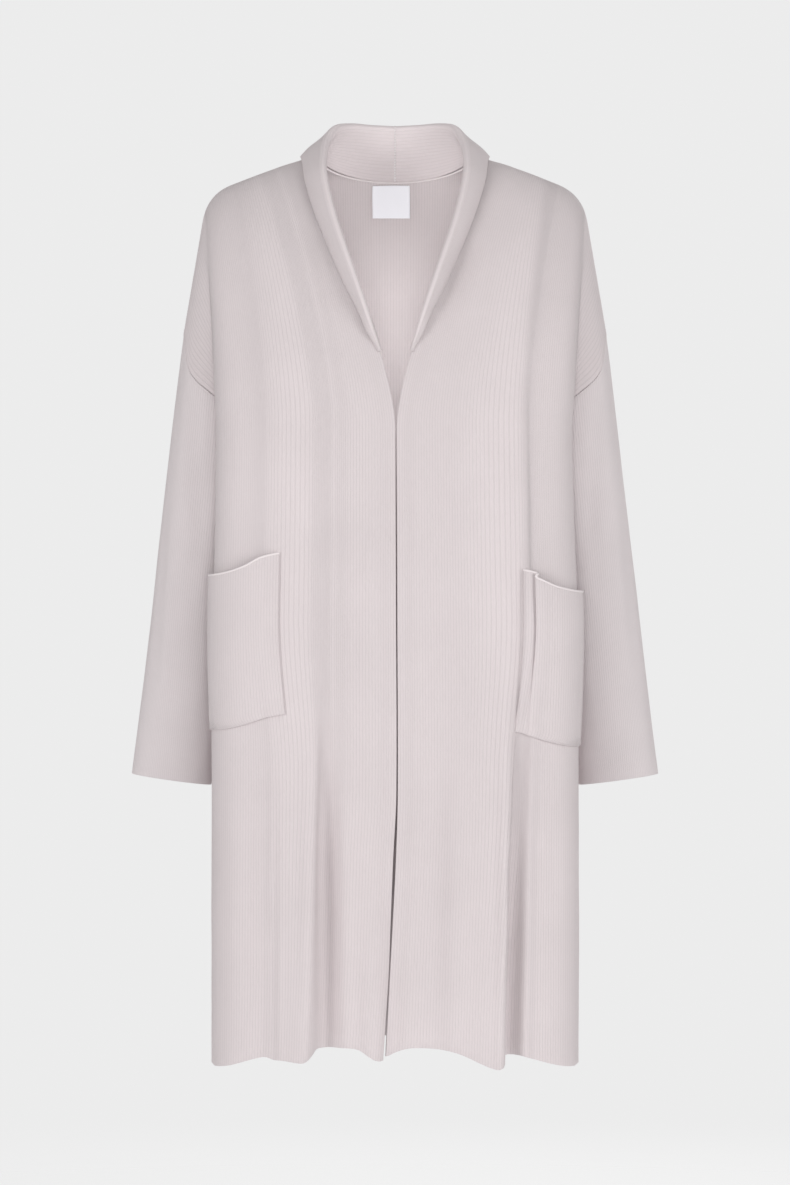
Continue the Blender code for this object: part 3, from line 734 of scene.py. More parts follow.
# %% [markdown]
# ## The shawl collar
# The collar stands up from the neck seam, rolls over and falls back onto the
# shoulders and the chest. Each section is a stand, an arc and a fall. The free
# edge is laid on the nearest cloth, so it never floats or sinks in.

# %% Collar sections
COLLAR = (
    # share, roll x, y, z, edge x, y, z, radius
    (0.000, 0.0172, -0.1098, -0.2160, 0.0195, -0.1070, -0.2200, 0.0025),
    (0.100, 0.0310, -0.1110, -0.1720, 0.0340, -0.0980, -0.1800, 0.0034),
    (0.210, 0.0445, -0.1010, -0.1300, 0.0550, -0.0840, -0.1380, 0.0042),
    (0.400, 0.0667, -0.0740, -0.0615, 0.0830, -0.0580, -0.0700, 0.0048),
    (0.545, 0.0770, -0.0440, -0.0130, 0.0980, -0.0300, -0.0220, 0.0050),
    (0.640, 0.0765, -0.0160, 0.0120, 0.1025, -0.0040, 0.0030, 0.0052),
    (0.720, 0.0735, 0.0100, 0.0310, 0.1040, 0.0280, 0.0090, 0.0052),
    (0.800, 0.0655, 0.0310, 0.0475, 0.0900, 0.0600, -0.0020, 0.0050),
    (0.870, 0.0490, 0.0480, 0.0520, 0.0600, 0.0790, -0.0140, 0.0048),
    (0.940, 0.0255, 0.0595, 0.0515, 0.0280, 0.0830, -0.0180, 0.0046),
    (1.000, 0.0000, 0.0625, 0.0505, 0.0000, 0.0840, -0.0190, 0.0046),
)
BREAK_ROW = LOWER_ROWS + 2
STAND_COLUMNS = 8
ROLL_COLUMNS = 12
FALL_COLUMNS = 8
COLLAR_LIFT = 0.0022
FALL_BULGE = 0.0025
COLLAR_STEP = 0.01
JUST_OUTSIDE = 1.01
NECK_STEPS = 6
TAPER_SHARE = 0.075
TAPER_END = 0.16


def surface_tree(grids):
    """A search tree over several grids, for laying one piece on another."""
    points, faces = [], []
    for grid, flip in grids:
        start = len(points)
        points += [point for row in grid for point in row]
        for face in grid_faces(len(grid), len(grid[0]), flip=flip):
            faces.append([start + n for n in face])
    return BVHTree.FromPolygons(points, faces)


def laid(tree, point, lift):
    location, normal, _, _ = tree.find_nearest(point)
    return location + normal * lift


def roll_section(seam, crest, edge, run, radius):
    """The hidden side: up from the seam, round the roll and down to the edge."""
    inward = (seam + edge) / 2 - crest
    inward = (inward - run * inward.dot(run)).normalized()
    outward = run.cross(inward)
    if outward.dot(edge - seam) < 0:
        outward = -outward
    core = crest + inward * radius
    inner = radius - COLLAR_KNIT

    def tangent(point, sign):
        across, along = (point - core).dot(outward), (point - core).dot(inward)
        distance = max(math.hypot(across, along), inner * JUST_OUTSIDE)
        return math.atan2(across, along) + sign * math.acos(inner / distance)

    start = tangent(seam, -1)
    end = tangent(edge, 1) - 2 * math.pi
    arc = []
    for n in range(ROLL_COLUMNS + 1):
        angle = mix(start, end, n / ROLL_COLUMNS)
        arc.append(core + (inward * math.cos(angle) + outward * math.sin(angle)) * inner)
    stand = [mix(seam, arc[0], n / STAND_COLUMNS) for n in range(STAND_COLUMNS)]
    fall = []
    for n in range(1, FALL_COLUMNS + 1):
        t = n / FALL_COLUMNS
        fall.append(mix(arc[-1], edge, t) + outward * FALL_BULGE * math.sin(math.pi * t))
    return stand + arc + fall


# %% Half a collar, from the break on the chest to the centre back
def seam_directions(side):
    """At each whole row and neck column of the seam, the way out of the panel it joins."""
    ways = []
    for row in range(BREAK_ROW, ROWS):
        ways.append((front_point(side, 0, row) - front_point(side, 1, row)).normalized())
    front_end = front_point(side, 0, ROWS) - front_point(side, 1, ROWS)
    for column in range(NECK_COLUMNS, -1, -1):
        up = back_point(side, column, ROWS) - back_point(side, column, ROWS - 1)
        ways.append(up.normalized())
    corner = ROWS - BREAK_ROW
    ways[corner] = (ways[corner] + front_end.normalized()).normalized()
    return ways


def collar_grid(side, tree):
    seam, places = [], []
    for r, row in enumerate(FINE_ROWS[:-1]):
        if row >= BREAK_ROW:
            seam.append(FRONTS[side][r][0])
            places.append(row - BREAK_ROW)
    for n in range(NECK_COLUMNS * NECK_STEPS + 1):
        column = NECK_COLUMNS - n / NECK_STEPS
        seam.append(back_point(side, column, ROWS))
        places.append(ROWS - BREAK_ROW + n / NECK_STEPS)
    ways = seam_directions(side)
    runs = run_lengths(seam)
    sections = []
    for base, place, length in zip(seam, places, runs):
        share = length / runs[-1]
        values = table_at(COLLAR, share)
        crest = mirrored(Vector(values[0:3]), side)
        edge = laid(tree, mirrored(Vector(values[3:6]), side), COLLAR_LIFT)
        ahead = Vector(table_at(COLLAR, share + COLLAR_STEP)[0:3])
        run = mirrored(ahead - Vector(table_at(COLLAR, share - COLLAR_STEP)[0:3]), side)
        start = base + between(ways, place).normalized() * COLLAR_GAP
        section = roll_section(start, crest, edge, run.normalized(), values[6])
        breadth = mix(TAPER_END, 1.0, smooth(share / TAPER_SHARE))
        sections.append([mix(start, point, breadth) for point in section])
    for point in sections[-1]:
        point.x = side * COLLAR_GAP
    return sections


TREE = surface_tree([(FRONTS[1], False), (FRONTS[-1], True), (BACK, False)])
COLLARS = {side: collar_grid(side, TREE) for side in (1, -1)}
print("each collar half has", len(COLLARS[1]), "sections of", len(COLLARS[1][0]), "points")

# %% [markdown]
# ## Patch pockets
# A patch pocket is a piece of the same knit sewn to the front on three sides. It
# takes the front's own points, moved out, so it follows every fold beneath it. It
# stands away a little at its mouth, and its lower outer corner is rounded.

# %% Make the pocket grids
POCKET_LIFT = 0.0003
POCKET_EASE = 0.0105
POCKET_GRID_ROWS = 44
POCKET_GRID_COLUMNS = 36
POCKET_CROWDING = 1.5
CORNER_RADIUS = 0.012
POCKET_WIDTH = 0.108
POCKET_HEIGHT = 0.176


def grid_at(grid, row, column):
    """A grid's point or normal at fractional row and column numbers."""
    r, c = min(int(row), len(grid) - 2), min(int(column), len(grid[0]) - 2)
    low = mix(grid[r][c], grid[r][c + 1], column - c)
    return mix(low, mix(grid[r + 1][c], grid[r + 1][c + 1], column - c), row - r)


def pocket_grid(side):
    front = FRONTS[side]
    normals = grid_normals(front, side)
    grid = []
    for n in range(POCKET_GRID_ROWS + 1):
        up = (n / POCKET_GRID_ROWS) ** POCKET_CROWDING
        rise = min(up * POCKET_HEIGHT, CORNER_RADIUS)
        reach = math.sqrt(CORNER_RADIUS ** 2 - (CORNER_RADIUS - rise) ** 2)
        width_share = 1 - (CORNER_RADIUS - reach) / POCKET_WIDTH
        row = (HEM_ROWS + POCKET_ROWS * up) * ROW_STEPS
        line = []
        for m in range(POCKET_GRID_COLUMNS + 1):
            across = m / POCKET_GRID_COLUMNS
            column = mix(POCKET_FIRST_COLUMN, POCKET_LAST_COLUMN, across * width_share)
            column *= COLUMN_STEPS
            ease = POCKET_EASE * math.sin(math.pi * across) * math.sin(math.pi / 2 * up)
            lift = grid_at(normals, row, column).normalized()
            line.append(grid_at(front, row, column) + lift * (POCKET_LIFT + KNIT + ease))
        grid.append(line)
    return grid


POCKETS = {side: pocket_grid(side) for side in (1, -1)}
print("made two pockets")

# %% [markdown]
# ## The neck label
# A label is a small square of satin sewn inside the back neck. It is laid on the
# back panel by finding the nearest place on it for each point, and its lower
# corners curl away a little, as they do when only its edge is held.

# %% Make the label grid
LABEL_X = (-0.0259, 0.0169)
LABEL_TOP_Z = -0.0150
LABEL_BOTTOM_Z = -0.0540
LABEL_LIFT = 0.0004
LABEL_STEPS = 14
LABEL_CURL = 0.0018


def label_grid(tree):
    grid = []
    for r in range(LABEL_STEPS + 1):
        z = mix(LABEL_BOTTOM_Z, LABEL_TOP_Z, r / LABEL_STEPS)
        line = []
        for c in range(LABEL_STEPS + 1):
            x = mix(LABEL_X[0], LABEL_X[1], c / LABEL_STEPS)
            curl = LABEL_CURL * (1 - r / LABEL_STEPS) ** 2 * abs(2 * c / LABEL_STEPS - 1)
            inward = KNIT + LABEL_LIFT + LABEL_CLOTH + curl
            line.append(laid(tree, Vector((x, BACK_NECK.y, z)), -inward))
        grid.append(line)
    return grid


LABEL = label_grid(TREE)
print("made the label")

# %% [markdown]
# ## Knit as a shader
# A knitted face is made of columns of V-shaped stitches, called wales, with a
# groove between them. The pattern is worked out from each piece's own UV map,
# which holds metres on the flat panel, so the wales run up the cloth and turn
# with it. It is built once as a node group, and each material sets its own sizes.

# %% Node helpers
def fill(tree, made, values):
    """Set a node's sockets, each to a number, a colour or another node's output."""
    for name, value in values.items():
        if isinstance(value, bpy.types.NodeSocket):
            tree.links.new(value, made.inputs[name])
        else:
            made.inputs[name].default_value = value


def node(tree, kind, values=None, **settings):
    """A new node. Its settings come first, because they decide which sockets it has."""
    made = tree.nodes.new(kind)
    for name, value in settings.items():
        setattr(made, name, value)
    fill(tree, made, values or {})
    return made


def math_node(tree, operation, *values):
    return node(tree, "ShaderNodeMath", dict(enumerate(values)), operation=operation).outputs[0]


def scaled(tree, vector, scale):
    values = {0: vector, "Scale": scale}
    return node(tree, "ShaderNodeVectorMath", values, operation="SCALE").outputs[0]


def smooth_step(tree, value, values):
    values = {"Value": value, **values}
    made = node(tree, "ShaderNodeMapRange", values, interpolation_type="SMOOTHSTEP")
    return made.outputs["Result"]


def new_tree(name, kind, inputs, outputs):
    """An empty node group. Inputs are given as (name, kind) or (name, kind, default)."""
    tree = bpy.data.node_groups.new(name, kind)
    for label, socket_kind, *default in inputs:
        socket = tree.interface.new_socket(label, in_out="INPUT", socket_type=socket_kind)
        if default:
            socket.default_value = default[0]
    for label, socket_kind in outputs:
        tree.interface.new_socket(label, in_out="OUTPUT", socket_type=socket_kind)
    return tree, tree.nodes.new("NodeGroupInput").outputs, tree.nodes.new("NodeGroupOutput")


NUMBER = "NodeSocketFloat"
COLOUR = "NodeSocketColor"
VECTOR = "NodeSocketVector"


# %% The stitch pattern group
WANDER_SCALE = 60.0
GROOVE_START = 0.55
LOOP_RELIEF = 0.45


def make_stitch_group():
    """Heights from 0 to 1 of a knitted face, and masks of its grooves and ribs."""
    tree, given, result = new_tree("knit_stitches", "ShaderNodeTree", [
        ("UV", VECTOR),
        ("Wale Width", NUMBER, 0.0017),
        ("Course Height", NUMBER, 0.0014),
        ("Lean", NUMBER, 0.9),
        ("Wander", NUMBER, 0.0005),
    ], [("Height", NUMBER), ("Groove", NUMBER), ("Rib", NUMBER)])

    def calc(operation, *values):
        return math_node(tree, operation, *values)

    wander = node(tree, "ShaderNodeTexNoise", {
        "Vector": given["UV"], "Scale": WANDER_SCALE, "Detail": 2.0,
    })
    split = node(tree, "ShaderNodeSeparateXYZ", {0: given["UV"]})
    drift = calc("MULTIPLY", calc("SUBTRACT", wander.outputs["Fac"], 0.5), given["Wander"])
    across = calc("DIVIDE", calc("ADD", split.outputs["X"], drift), given["Wale Width"])
    up = calc("DIVIDE", calc("ADD", split.outputs["Y"], drift), given["Course Height"])
    centred = calc("SUBTRACT", calc("FRACT", across), 0.5)
    from_middle = calc("MULTIPLY", calc("ABSOLUTE", centred), 2.0)
    leaning = calc("MULTIPLY", from_middle, given["Lean"])
    phase = calc("MULTIPLY", calc("ADD", up, leaning), 2 * math.pi)
    loops = calc("MULTIPLY_ADD", calc("COSINE", phase), 0.5, 0.5)
    groove = smooth_step(tree, from_middle, {"From Min": GROOVE_START, "From Max": 1.0})
    body = calc("MULTIPLY_ADD", loops, LOOP_RELIEF, 1 - LOOP_RELIEF)
    pair = calc("MULTIPLY", across, math.pi)
    fill(tree, result, {
        "Height": calc("MULTIPLY", calc("SUBTRACT", 1.0, groove), body),
        "Groove": groove,
        "Rib": calc("MULTIPLY_ADD", calc("COSINE", pair), 0.5, 0.5),
    })
    return tree


# %% [markdown]
# ## Wool as a shader
# Wool is never one flat colour: its fibres take the dye unevenly. Small noise
# gives the flecks, slow noise gives clouds in the tone, and the finest noise
# stands for the fuzz. It reads the space around the coat, so it doesn't stretch.

# %% The wool group
FLECK_SCALE = 420.0
CLOUD_SCALE = 9.0
FUZZ_SCALE = 1500.0
FUZZ_ROUGHNESS = 0.7


def make_wool_group():
    """A flecked wool colour with slow clouds in it, and the height of its fuzz."""
    tree, given, result = new_tree("soft_wool", "ShaderNodeTree", [
        ("Vector", VECTOR),
        ("Colour", COLOUR, (0.68, 0.60, 0.61, 1.0)),
        ("Fleck Colour", COLOUR, (0.74, 0.67, 0.67, 1.0)),
        ("Fleck", NUMBER, 0.35),
        ("Cloud", NUMBER, 0.12),
    ], [("Colour", COLOUR), ("Fuzz", NUMBER)])

    def cloud(scale, detail, roughness=0.5):
        return node(tree, "ShaderNodeTexNoise", {
            "Vector": given["Vector"], "Scale": scale, "Detail": detail, "Roughness": roughness,
        }).outputs["Fac"]

    flecked = node(tree, "ShaderNodeMix", {
        "Factor": math_node(tree, "MULTIPLY", cloud(FLECK_SCALE, 2.0), given["Fleck"]),
        "A": given["Colour"],
        "B": given["Fleck Colour"],
    }, data_type="RGBA")
    slow = math_node(tree, "SUBTRACT", cloud(CLOUD_SCALE, 3.0), 0.5)
    shade = math_node(tree, "ADD", math_node(tree, "MULTIPLY", slow, given["Cloud"]), 1.0)
    fill(tree, result, {
        "Colour": scaled(tree, flecked.outputs["Result"], shade),
        "Fuzz": cloud(FUZZ_SCALE, 3.0, FUZZ_ROUGHNESS),
    })
    return tree


STITCH_GROUP = make_stitch_group()
WOOL_GROUP = make_wool_group()
print("built the node groups", STITCH_GROUP.name, "and", WOOL_GROUP.name)


# %% [markdown]
# ## The materials
# Wool scatters light at its fibre tips, which the sheen of the shader gives. The
# grooves between wales and every other wale of the rib are painted a touch darker,
# as painted shade. The collar is knitted denser, with its wales along it. The
# sleeves take a lighter copy of the same knit, as painted light. The label is satin,
# woven in the same pattern but far finer, with painted shade in its grooves, and the
# yarn of the sewing is wool without stitches. The rims' yarn is painted paler, a
# painted highlight on the raised roll.

# %% Shared steps of a material
def new_material(name, values):
    material = bpy.data.materials.new(name)
    material.use_nodes = True
    tree = material.node_tree
    shader = tree.nodes["Principled BSDF"]
    fill(tree, shader, values)
    return material, tree, shader


def stitches_of(tree, sizes):
    """The stitch group's outputs, read on the flat panel."""
    flat = node(tree, "ShaderNodeUVMap", uv_map="pattern")
    values = {"UV": flat.outputs["UV"], **sizes}
    return node(tree, "ShaderNodeGroup", values, node_tree=STITCH_GROUP).outputs


def wool_of(tree, colour, fleck):
    """The wool group's outputs, read in the space around the coat."""
    place = node(tree, "ShaderNodeTexCoord")
    values = {"Vector": place.outputs["Object"], "Colour": colour, "Fleck Colour": fleck}
    return node(tree, "ShaderNodeGroup", values, node_tree=WOOL_GROUP).outputs


def dress(tree, shader, colour, height, strength, distance):
    relief = node(tree, "ShaderNodeBump", {
        "Height": height, "Strength": strength, "Distance": distance,
    })
    fill(tree, shader, {"Base Color": colour, "Normal": relief.outputs["Normal"]})


# %% Knit, satin and yarn
FIBRE_TIPS = {"Sheen Weight": 0.25, "Sheen Roughness": 0.6, "Specular IOR Level": 0.25}
GROOVE_SHADE_SHARE = 0.8
FUZZ_HEIGHT = 0.5
RIB_HEIGHT = 0.5
KNIT_RELIEF = 0.55
YARN_RELIEF = 0.5
SATIN_RELIEF, SATIN_DEPTH = 0.4, 0.0002


def knit_material(name, colour, fleck, wale, course, painted_shade_amount, depth):
    looks = {**FIBRE_TIPS, "Roughness": 0.92, "Sheen Tint": (1.0, 0.95, 0.95, 1.0)}
    material, tree, shader = new_material(name, looks)
    stitches = stitches_of(tree, {"Wale Width": wale, "Course Height": course})
    wool = wool_of(tree, colour, fleck)
    # Painted shade: the rib's recessed wales and the grooves between wales are darkened in the colour.
    rib_painted_shade = math_node(tree, "MULTIPLY_ADD", stitches["Rib"], -painted_shade_amount, 1.0)
    painted_shade_tone = math_node(tree, "MULTIPLY_ADD", stitches["Groove"], -painted_shade_amount * GROOVE_SHADE_SHARE, rib_painted_shade)
    height = math_node(tree, "MULTIPLY_ADD", wool["Fuzz"], FUZZ_HEIGHT, stitches["Height"])
    height = math_node(tree, "MULTIPLY_ADD", stitches["Rib"], -RIB_HEIGHT, height)
    dress(tree, shader, scaled(tree, wool["Colour"], painted_shade_tone), height, KNIT_RELIEF, depth)
    return material


def satin_material(name, colour):
    material, tree, shader = new_material(name, {"Roughness": 0.55, "Sheen Weight": 0.15})
    weave = stitches_of(tree, {"Wale Width": 0.0004, "Course Height": 0.0008, "Lean": 0.5})
    # Painted shade: the satin's grooves are darkened in the colour.
    painted_shade_tone = math_node(tree, "MULTIPLY_ADD", weave["Groove"], -0.05, 1.0)
    dress(tree, shader, scaled(tree, colour, painted_shade_tone), weave["Height"], SATIN_RELIEF, SATIN_DEPTH)
    return material


def yarn_material(name, colour, fleck, depth):
    material, tree, shader = new_material(name, {**FIBRE_TIPS, "Roughness": 0.9})
    wool = wool_of(tree, colour, fleck)
    dress(tree, shader, wool["Colour"], wool["Fuzz"], YARN_RELIEF, depth)
    return material


# %% Make the materials
ROSE, ROSE_FLECK = (0.655, 0.590, 0.598, 1.0), (0.715, 0.655, 0.660, 1.0)
# The sleeves take a lighter copy of the rose: painted light, as if they caught more of the lamps.
SLEEVE_PAINTED_LIGHT, SLEEVE_PAINTED_LIGHT_FLECK = (0.700, 0.638, 0.647, 1.0), (0.755, 0.700, 0.706, 1.0)
# The rims take the paler fleck tone: a painted highlight on their raised roll.
RIM_HIGHLIGHT_FLECK = (0.76, 0.70, 0.705, 1.0)
THREAD, THREAD_FLECK = (0.84, 0.84, 0.88, 1.0), (0.90, 0.90, 0.93, 1.0)
# width of a wale, height of a course, painted shade in the grooves and recessed ribs, depth of the
# relief
BODY_GAUGE = (0.00165, 0.0013, 0.07, 0.0006)
COLLAR_GAUGE = (0.0019, 0.0012, 0.05, 0.0004)

BODY_KNIT = knit_material("dusty_rose_knit", ROSE, ROSE_FLECK, *BODY_GAUGE)
COLLAR_MATERIAL = knit_material("dense_collar_knit", ROSE, ROSE_FLECK, *COLLAR_GAUGE)
# The sleeves' knit is painted lighter than the body's: painted light.
SLEEVE_MATERIAL = knit_material("sleeve_knit_painted_lighter", SLEEVE_PAINTED_LIGHT, SLEEVE_PAINTED_LIGHT_FLECK, *BODY_GAUGE)
LABEL_MATERIAL = satin_material("white_satin", (0.91, 0.91, 0.955))
LINKING_YARN = yarn_material("linking_yarn", ROSE, ROSE_FLECK, 0.0002)
# The rim yarn is painted paler than the knit: a painted highlight on the raised rims.
RIM_HIGHLIGHT_YARN = yarn_material("rim_yarn_painted_highlight", ROSE_FLECK, RIM_HIGHLIGHT_FLECK, 0.0003)
LABEL_THREAD = yarn_material("label_thread", THREAD, THREAD_FLECK, 0.0001)
print("made three knits, a satin and three yarns")

# %% [markdown]
# ## From grid to cloth
# Each grid becomes one mesh. Its UV map holds metres across and up the flat
# panel. Solidify gives the cloth its thickness, and a small bevel rounds the cut
# edges, which on knitwear are turned or linked and never sharp.

# %% Make a piece of cloth
EDGE_ROUND = 0.0007
CREASE_ANGLE = math.radians(50.0)


def pattern_uv(grid, around):
    """Metres across and up the flat panel, for each point of a grid."""
    widest = max(grid, key=lambda row: run_lengths(row)[-1])
    across = run_lengths(widest + widest[:1] if around else widest)
    columns = list(zip(*grid))
    chosen = columns[0], columns[len(columns) // 2], columns[-1]
    up = [sum(run) / len(run) for run in zip(*[run_lengths(column) for column in chosen])]
    return across, up


def cloth_piece(name, grid, material, thickness=KNIT, around=False, flip=False, grow=-1):
    rows, columns = len(grid), len(grid[0])
    mesh = bpy.data.meshes.new(name)
    points = [point for row in grid for point in row]
    mesh.from_pydata(points, [], grid_faces(rows, columns, around, flip))
    mesh.shade_smooth()
    mesh.materials.append(material)
    across, up = pattern_uv(grid, around)
    layer = mesh.uv_layers.new(name="pattern")
    for face in mesh.polygons:
        places = [divmod(mesh.loops[n].vertex_index, columns) for n in face.loop_indices]
        wraps = around and max(c for _, c in places) == columns - 1
        for n, (r, c) in zip(face.loop_indices, places):
            layer.data[n].uv = (across[columns if wraps and c == 0 else c], up[r])
    piece = bpy.data.objects.new(name, mesh)
    bpy.context.scene.collection.objects.link(piece)
    wall = piece.modifiers.new("Wall", "SOLIDIFY")
    wall.thickness = thickness
    wall.offset = grow
    wall.use_quality_normals = True
    edges = piece.modifiers.new("Turned edges", "BEVEL")
    edges.width = EDGE_ROUND
    edges.segments = 2
    edges.limit_method = "ANGLE"
    edges.angle_limit = CREASE_ANGLE
    return piece


def declare(piece, node_name):
    """Hang a cloth piece from the root, and hide the imported solid it stands for."""
    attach(piece, "root")
    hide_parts(node_name)


# %% [markdown]
# ## The panels
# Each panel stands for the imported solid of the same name. Left and right are made
# by one loop, because they differ only in their grids and in which way they face.
# A front and the back are drawn in a little from their seams, so that they touch
# without cutting into each other.

# %% Make every cloth piece
for side, hand in ((1, "left"), (-1, "right")):
    left, front_name = side > 0, f"front_{hand}"
    outer = trim([row[:] for row in FRONTS[side]])
    front = cloth_piece(f"front_{hand}_knit", outer, BODY_KNIT, flip=not left)
    declare(front, front_name)
    sleeve = cloth_piece(f"sleeve_{hand}_knit", SLEEVES[side], SLEEVE_MATERIAL, around=True, flip=left)
    declare(sleeve, f"sleeve_{hand}")
    shape = {"thickness": COLLAR_KNIT, "flip": not left, "grow": 1}
    collar = cloth_piece(f"collar_{hand}_knit", COLLARS[side], COLLAR_MATERIAL, **shape)
    declare(collar, f"collar_{hand}")
    pocket = cloth_piece(f"pocket_{hand}_knit", POCKETS[side], BODY_KNIT, flip=not left)
    declare(pocket, f"pocket_{hand}")

back = cloth_piece("back_knit", trim([row[:] for row in BACK], first_column=True), BODY_KNIT)
declare(back, "back")
label = cloth_piece("neck_label_satin", LABEL, LABEL_MATERIAL, LABEL_CLOTH)
declare(label, "neck_label")

# %% [markdown]
# ## Sewing
# The panels are linked stitch by stitch, and the pockets and the label are sewn
# on. A stitch repeats along a path, which is work for geometry nodes: one tree
# takes a line, walks along it in even steps and sets a stitch at each one. The
# line's points carry the way out of the cloth, so each stitch lies flat on it.

# %% Shared parts of a sewing tree
GEOMETRY = ("Geometry", "NodeSocketGeometry")
YARN = ("Yarn", "NodeSocketMaterial")


def walked_line(tree, given, step):
    """The given edges as a curve, with a point at every step along it."""
    line = node(tree, "GeometryNodeMeshToCurve", {"Mesh": given["Geometry"]})
    values = {"Curve": line.outputs["Curve"], "Length": given[step]}
    return node(tree, "GeometryNodeResampleCurve", values, mode="LENGTH").outputs["Curve"]


def finish_tree(tree, given, result, geometry):
    real = node(tree, "GeometryNodeRealizeInstances", {"Geometry": geometry})
    dressed = node(tree, "GeometryNodeSetMaterial", {
        "Geometry": real.outputs["Geometry"], "Material": given["Yarn"],
    })
    fill(tree, result, {"Geometry": dressed.outputs["Geometry"]})
    return tree


# %% Node tree for a row of stitches
def make_stitch_tree():
    tree, given, result = new_tree("row_of_stitches", "GeometryNodeTree", [
        GEOMETRY,
        ("Pitch", NUMBER, 0.003),
        ("Length", NUMBER, 0.0022),
        ("Width", NUMBER, 0.0009),
        ("Height", NUMBER, 0.0008),
        ("Lean", NUMBER, 0.0),
        ("Unevenness", NUMBER, 0.15),
        ("Seed", "NodeSocketInt", 1),
        YARN,
    ], [GEOMETRY])
    loop = node(tree, "GeometryNodeMeshUVSphere", {"Segments": 6, "Rings": 5, "Radius": 0.5})
    soft = node(tree, "GeometryNodeSetShadeSmooth", {"Geometry": loop.outputs["Mesh"]})
    out = node(tree, "GeometryNodeInputNamedAttribute", {"Name": "out"}, data_type="FLOAT_VECTOR")
    upright = node(tree, "FunctionNodeAlignRotationToVector", {
        "Vector": out.outputs["Attribute"],
    }, axis="Z")
    along = node(tree, "FunctionNodeAlignRotationToVector", {
        "Rotation": upright.outputs["Rotation"],
        "Vector": node(tree, "GeometryNodeInputTangent").outputs["Tangent"],
    }, axis="X", pivot_axis="Z")
    lean = node(tree, "ShaderNodeCombineXYZ", {"Z": given["Lean"]})
    turn = node(tree, "FunctionNodeEulerToRotation", {"Euler": lean.outputs["Vector"]})
    leaning = node(tree, "FunctionNodeRotateRotation", {
        "Rotation": along.outputs["Rotation"], "Rotate By": turn.outputs["Rotation"],
    }, rotation_space="LOCAL")
    chance = node(tree, "FunctionNodeRandomValue", {
        2: math_node(tree, "SUBTRACT", 1.0, given["Unevenness"]),
        3: math_node(tree, "ADD", 1.0, given["Unevenness"]),
        "Seed": given["Seed"],
    }, data_type="FLOAT")
    size = node(tree, "ShaderNodeCombineXYZ", {
        "X": given["Length"], "Y": given["Width"], "Z": given["Height"],
    })
    row = node(tree, "GeometryNodeInstanceOnPoints", {
        "Points": walked_line(tree, given, "Pitch"),
        "Instance": soft.outputs["Geometry"],
        "Rotation": leaning.outputs["Rotation"],
        "Scale": scaled(tree, size.outputs["Vector"], chance.outputs[1]),
    })
    return finish_tree(tree, given, result, row.outputs["Instances"])


# %% Node tree for a rolled rim
def make_rim_tree():
    tree, given, result = new_tree("rolled_rim", "GeometryNodeTree", [
        GEOMETRY, ("Step", NUMBER, 0.002), ("Radius", NUMBER, 0.0013), YARN,
    ], [GEOMETRY])
    ring = node(tree, "GeometryNodeCurvePrimitiveCircle", {
        "Resolution": 10, "Radius": given["Radius"],
    })
    rim = node(tree, "GeometryNodeCurveToMesh", {
        "Curve": walked_line(tree, given, "Step"),
        "Profile Curve": ring.outputs["Curve"],
        "Fill Caps": True,
    })
    return finish_tree(tree, given, result, rim.outputs["Mesh"])


STITCH_TREE = make_stitch_tree()
RIM_TREE = make_rim_tree()
print("built the trees", STITCH_TREE.name, "and", RIM_TREE.name)


# %% Grow a piece along its paths
def sewn_piece(name, rows, tree, sizes):
    """One piece along rows of (point, way out), made plain before the frame sees it."""
    points, edges = [], []
    for row in rows:
        edges += [(len(points) + n, len(points) + n + 1) for n in range(len(row) - 1)]
        points += row
    mesh = bpy.data.meshes.new(name)
    mesh.from_pydata([point for point, _ in points], edges, [])
    ways = mesh.attributes.new("out", "FLOAT_VECTOR", "POINT")
    ways.data.foreach_set("vector", [value for _, way in points for value in way])
    piece = bpy.data.objects.new(name, mesh)
    bpy.context.scene.collection.objects.link(piece)
    grower = piece.modifiers.new("Sewing", "NODES")
    grower.node_group = tree
    for socket in tree.interface.items_tree:
        if socket.in_out == "INPUT" and socket.name in sizes:
            grower[socket.identifier] = sizes[socket.name]
    evaluated = piece.evaluated_get(bpy.context.evaluated_depsgraph_get())
    plain = bpy.data.meshes.new_from_object(evaluated)
    piece.modifiers.clear()
    piece.data = plain
    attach(piece, "root")
    print(f"{name}: {len(plain.polygons)} faces along {len(rows)} rows")
    return piece


# %% [markdown]
# ## Linked seams
# Knitted panels are linked loop by loop, which leaves a fine raised line at each
# side, shoulder, armhole and down the middle of the collar. A bump texture could
# draw it, but real stitches also show at the outline. Each row takes its points
# from the edge of a panel, so it can't drift off the seam.

# %% Where the panels meet
CENTRE_COLUMN = BACK_COLUMNS * COLUMN_STEPS
NECK_FINE = NECK_COLUMNS * COLUMN_STEPS


def panel_seams(side):
    """The side, shoulder and armhole seams of one half of the coat."""
    front, sleeve = FRONTS[side], SLEEVES[side]
    front_ways, back_ways = grid_normals(front, side), grid_normals(BACK)
    sleeve_way = grid_normals(sleeve, -side)[0]
    back_edge = CENTRE_COLUMN - side * CENTRE_COLUMN
    side_seam = []
    for r in range(LOWER_ROWS * ROW_STEPS + 1):
        way = front_ways[r][-1] + back_ways[r][back_edge]
        side_seam.append((front[r][-1], way.normalized()))
    shoulder = []
    for c, point in enumerate(front[-1]):
        back_way = back_ways[-1][CENTRE_COLUMN - side * (NECK_FINE + c)]
        shoulder.append((point, (front_ways[-1][c] + back_way).normalized()))
    armhole = list(zip(sleeve[0] + sleeve[0][:1], sleeve_way + sleeve_way[:1]))
    return [side_seam, shoulder, armhole]


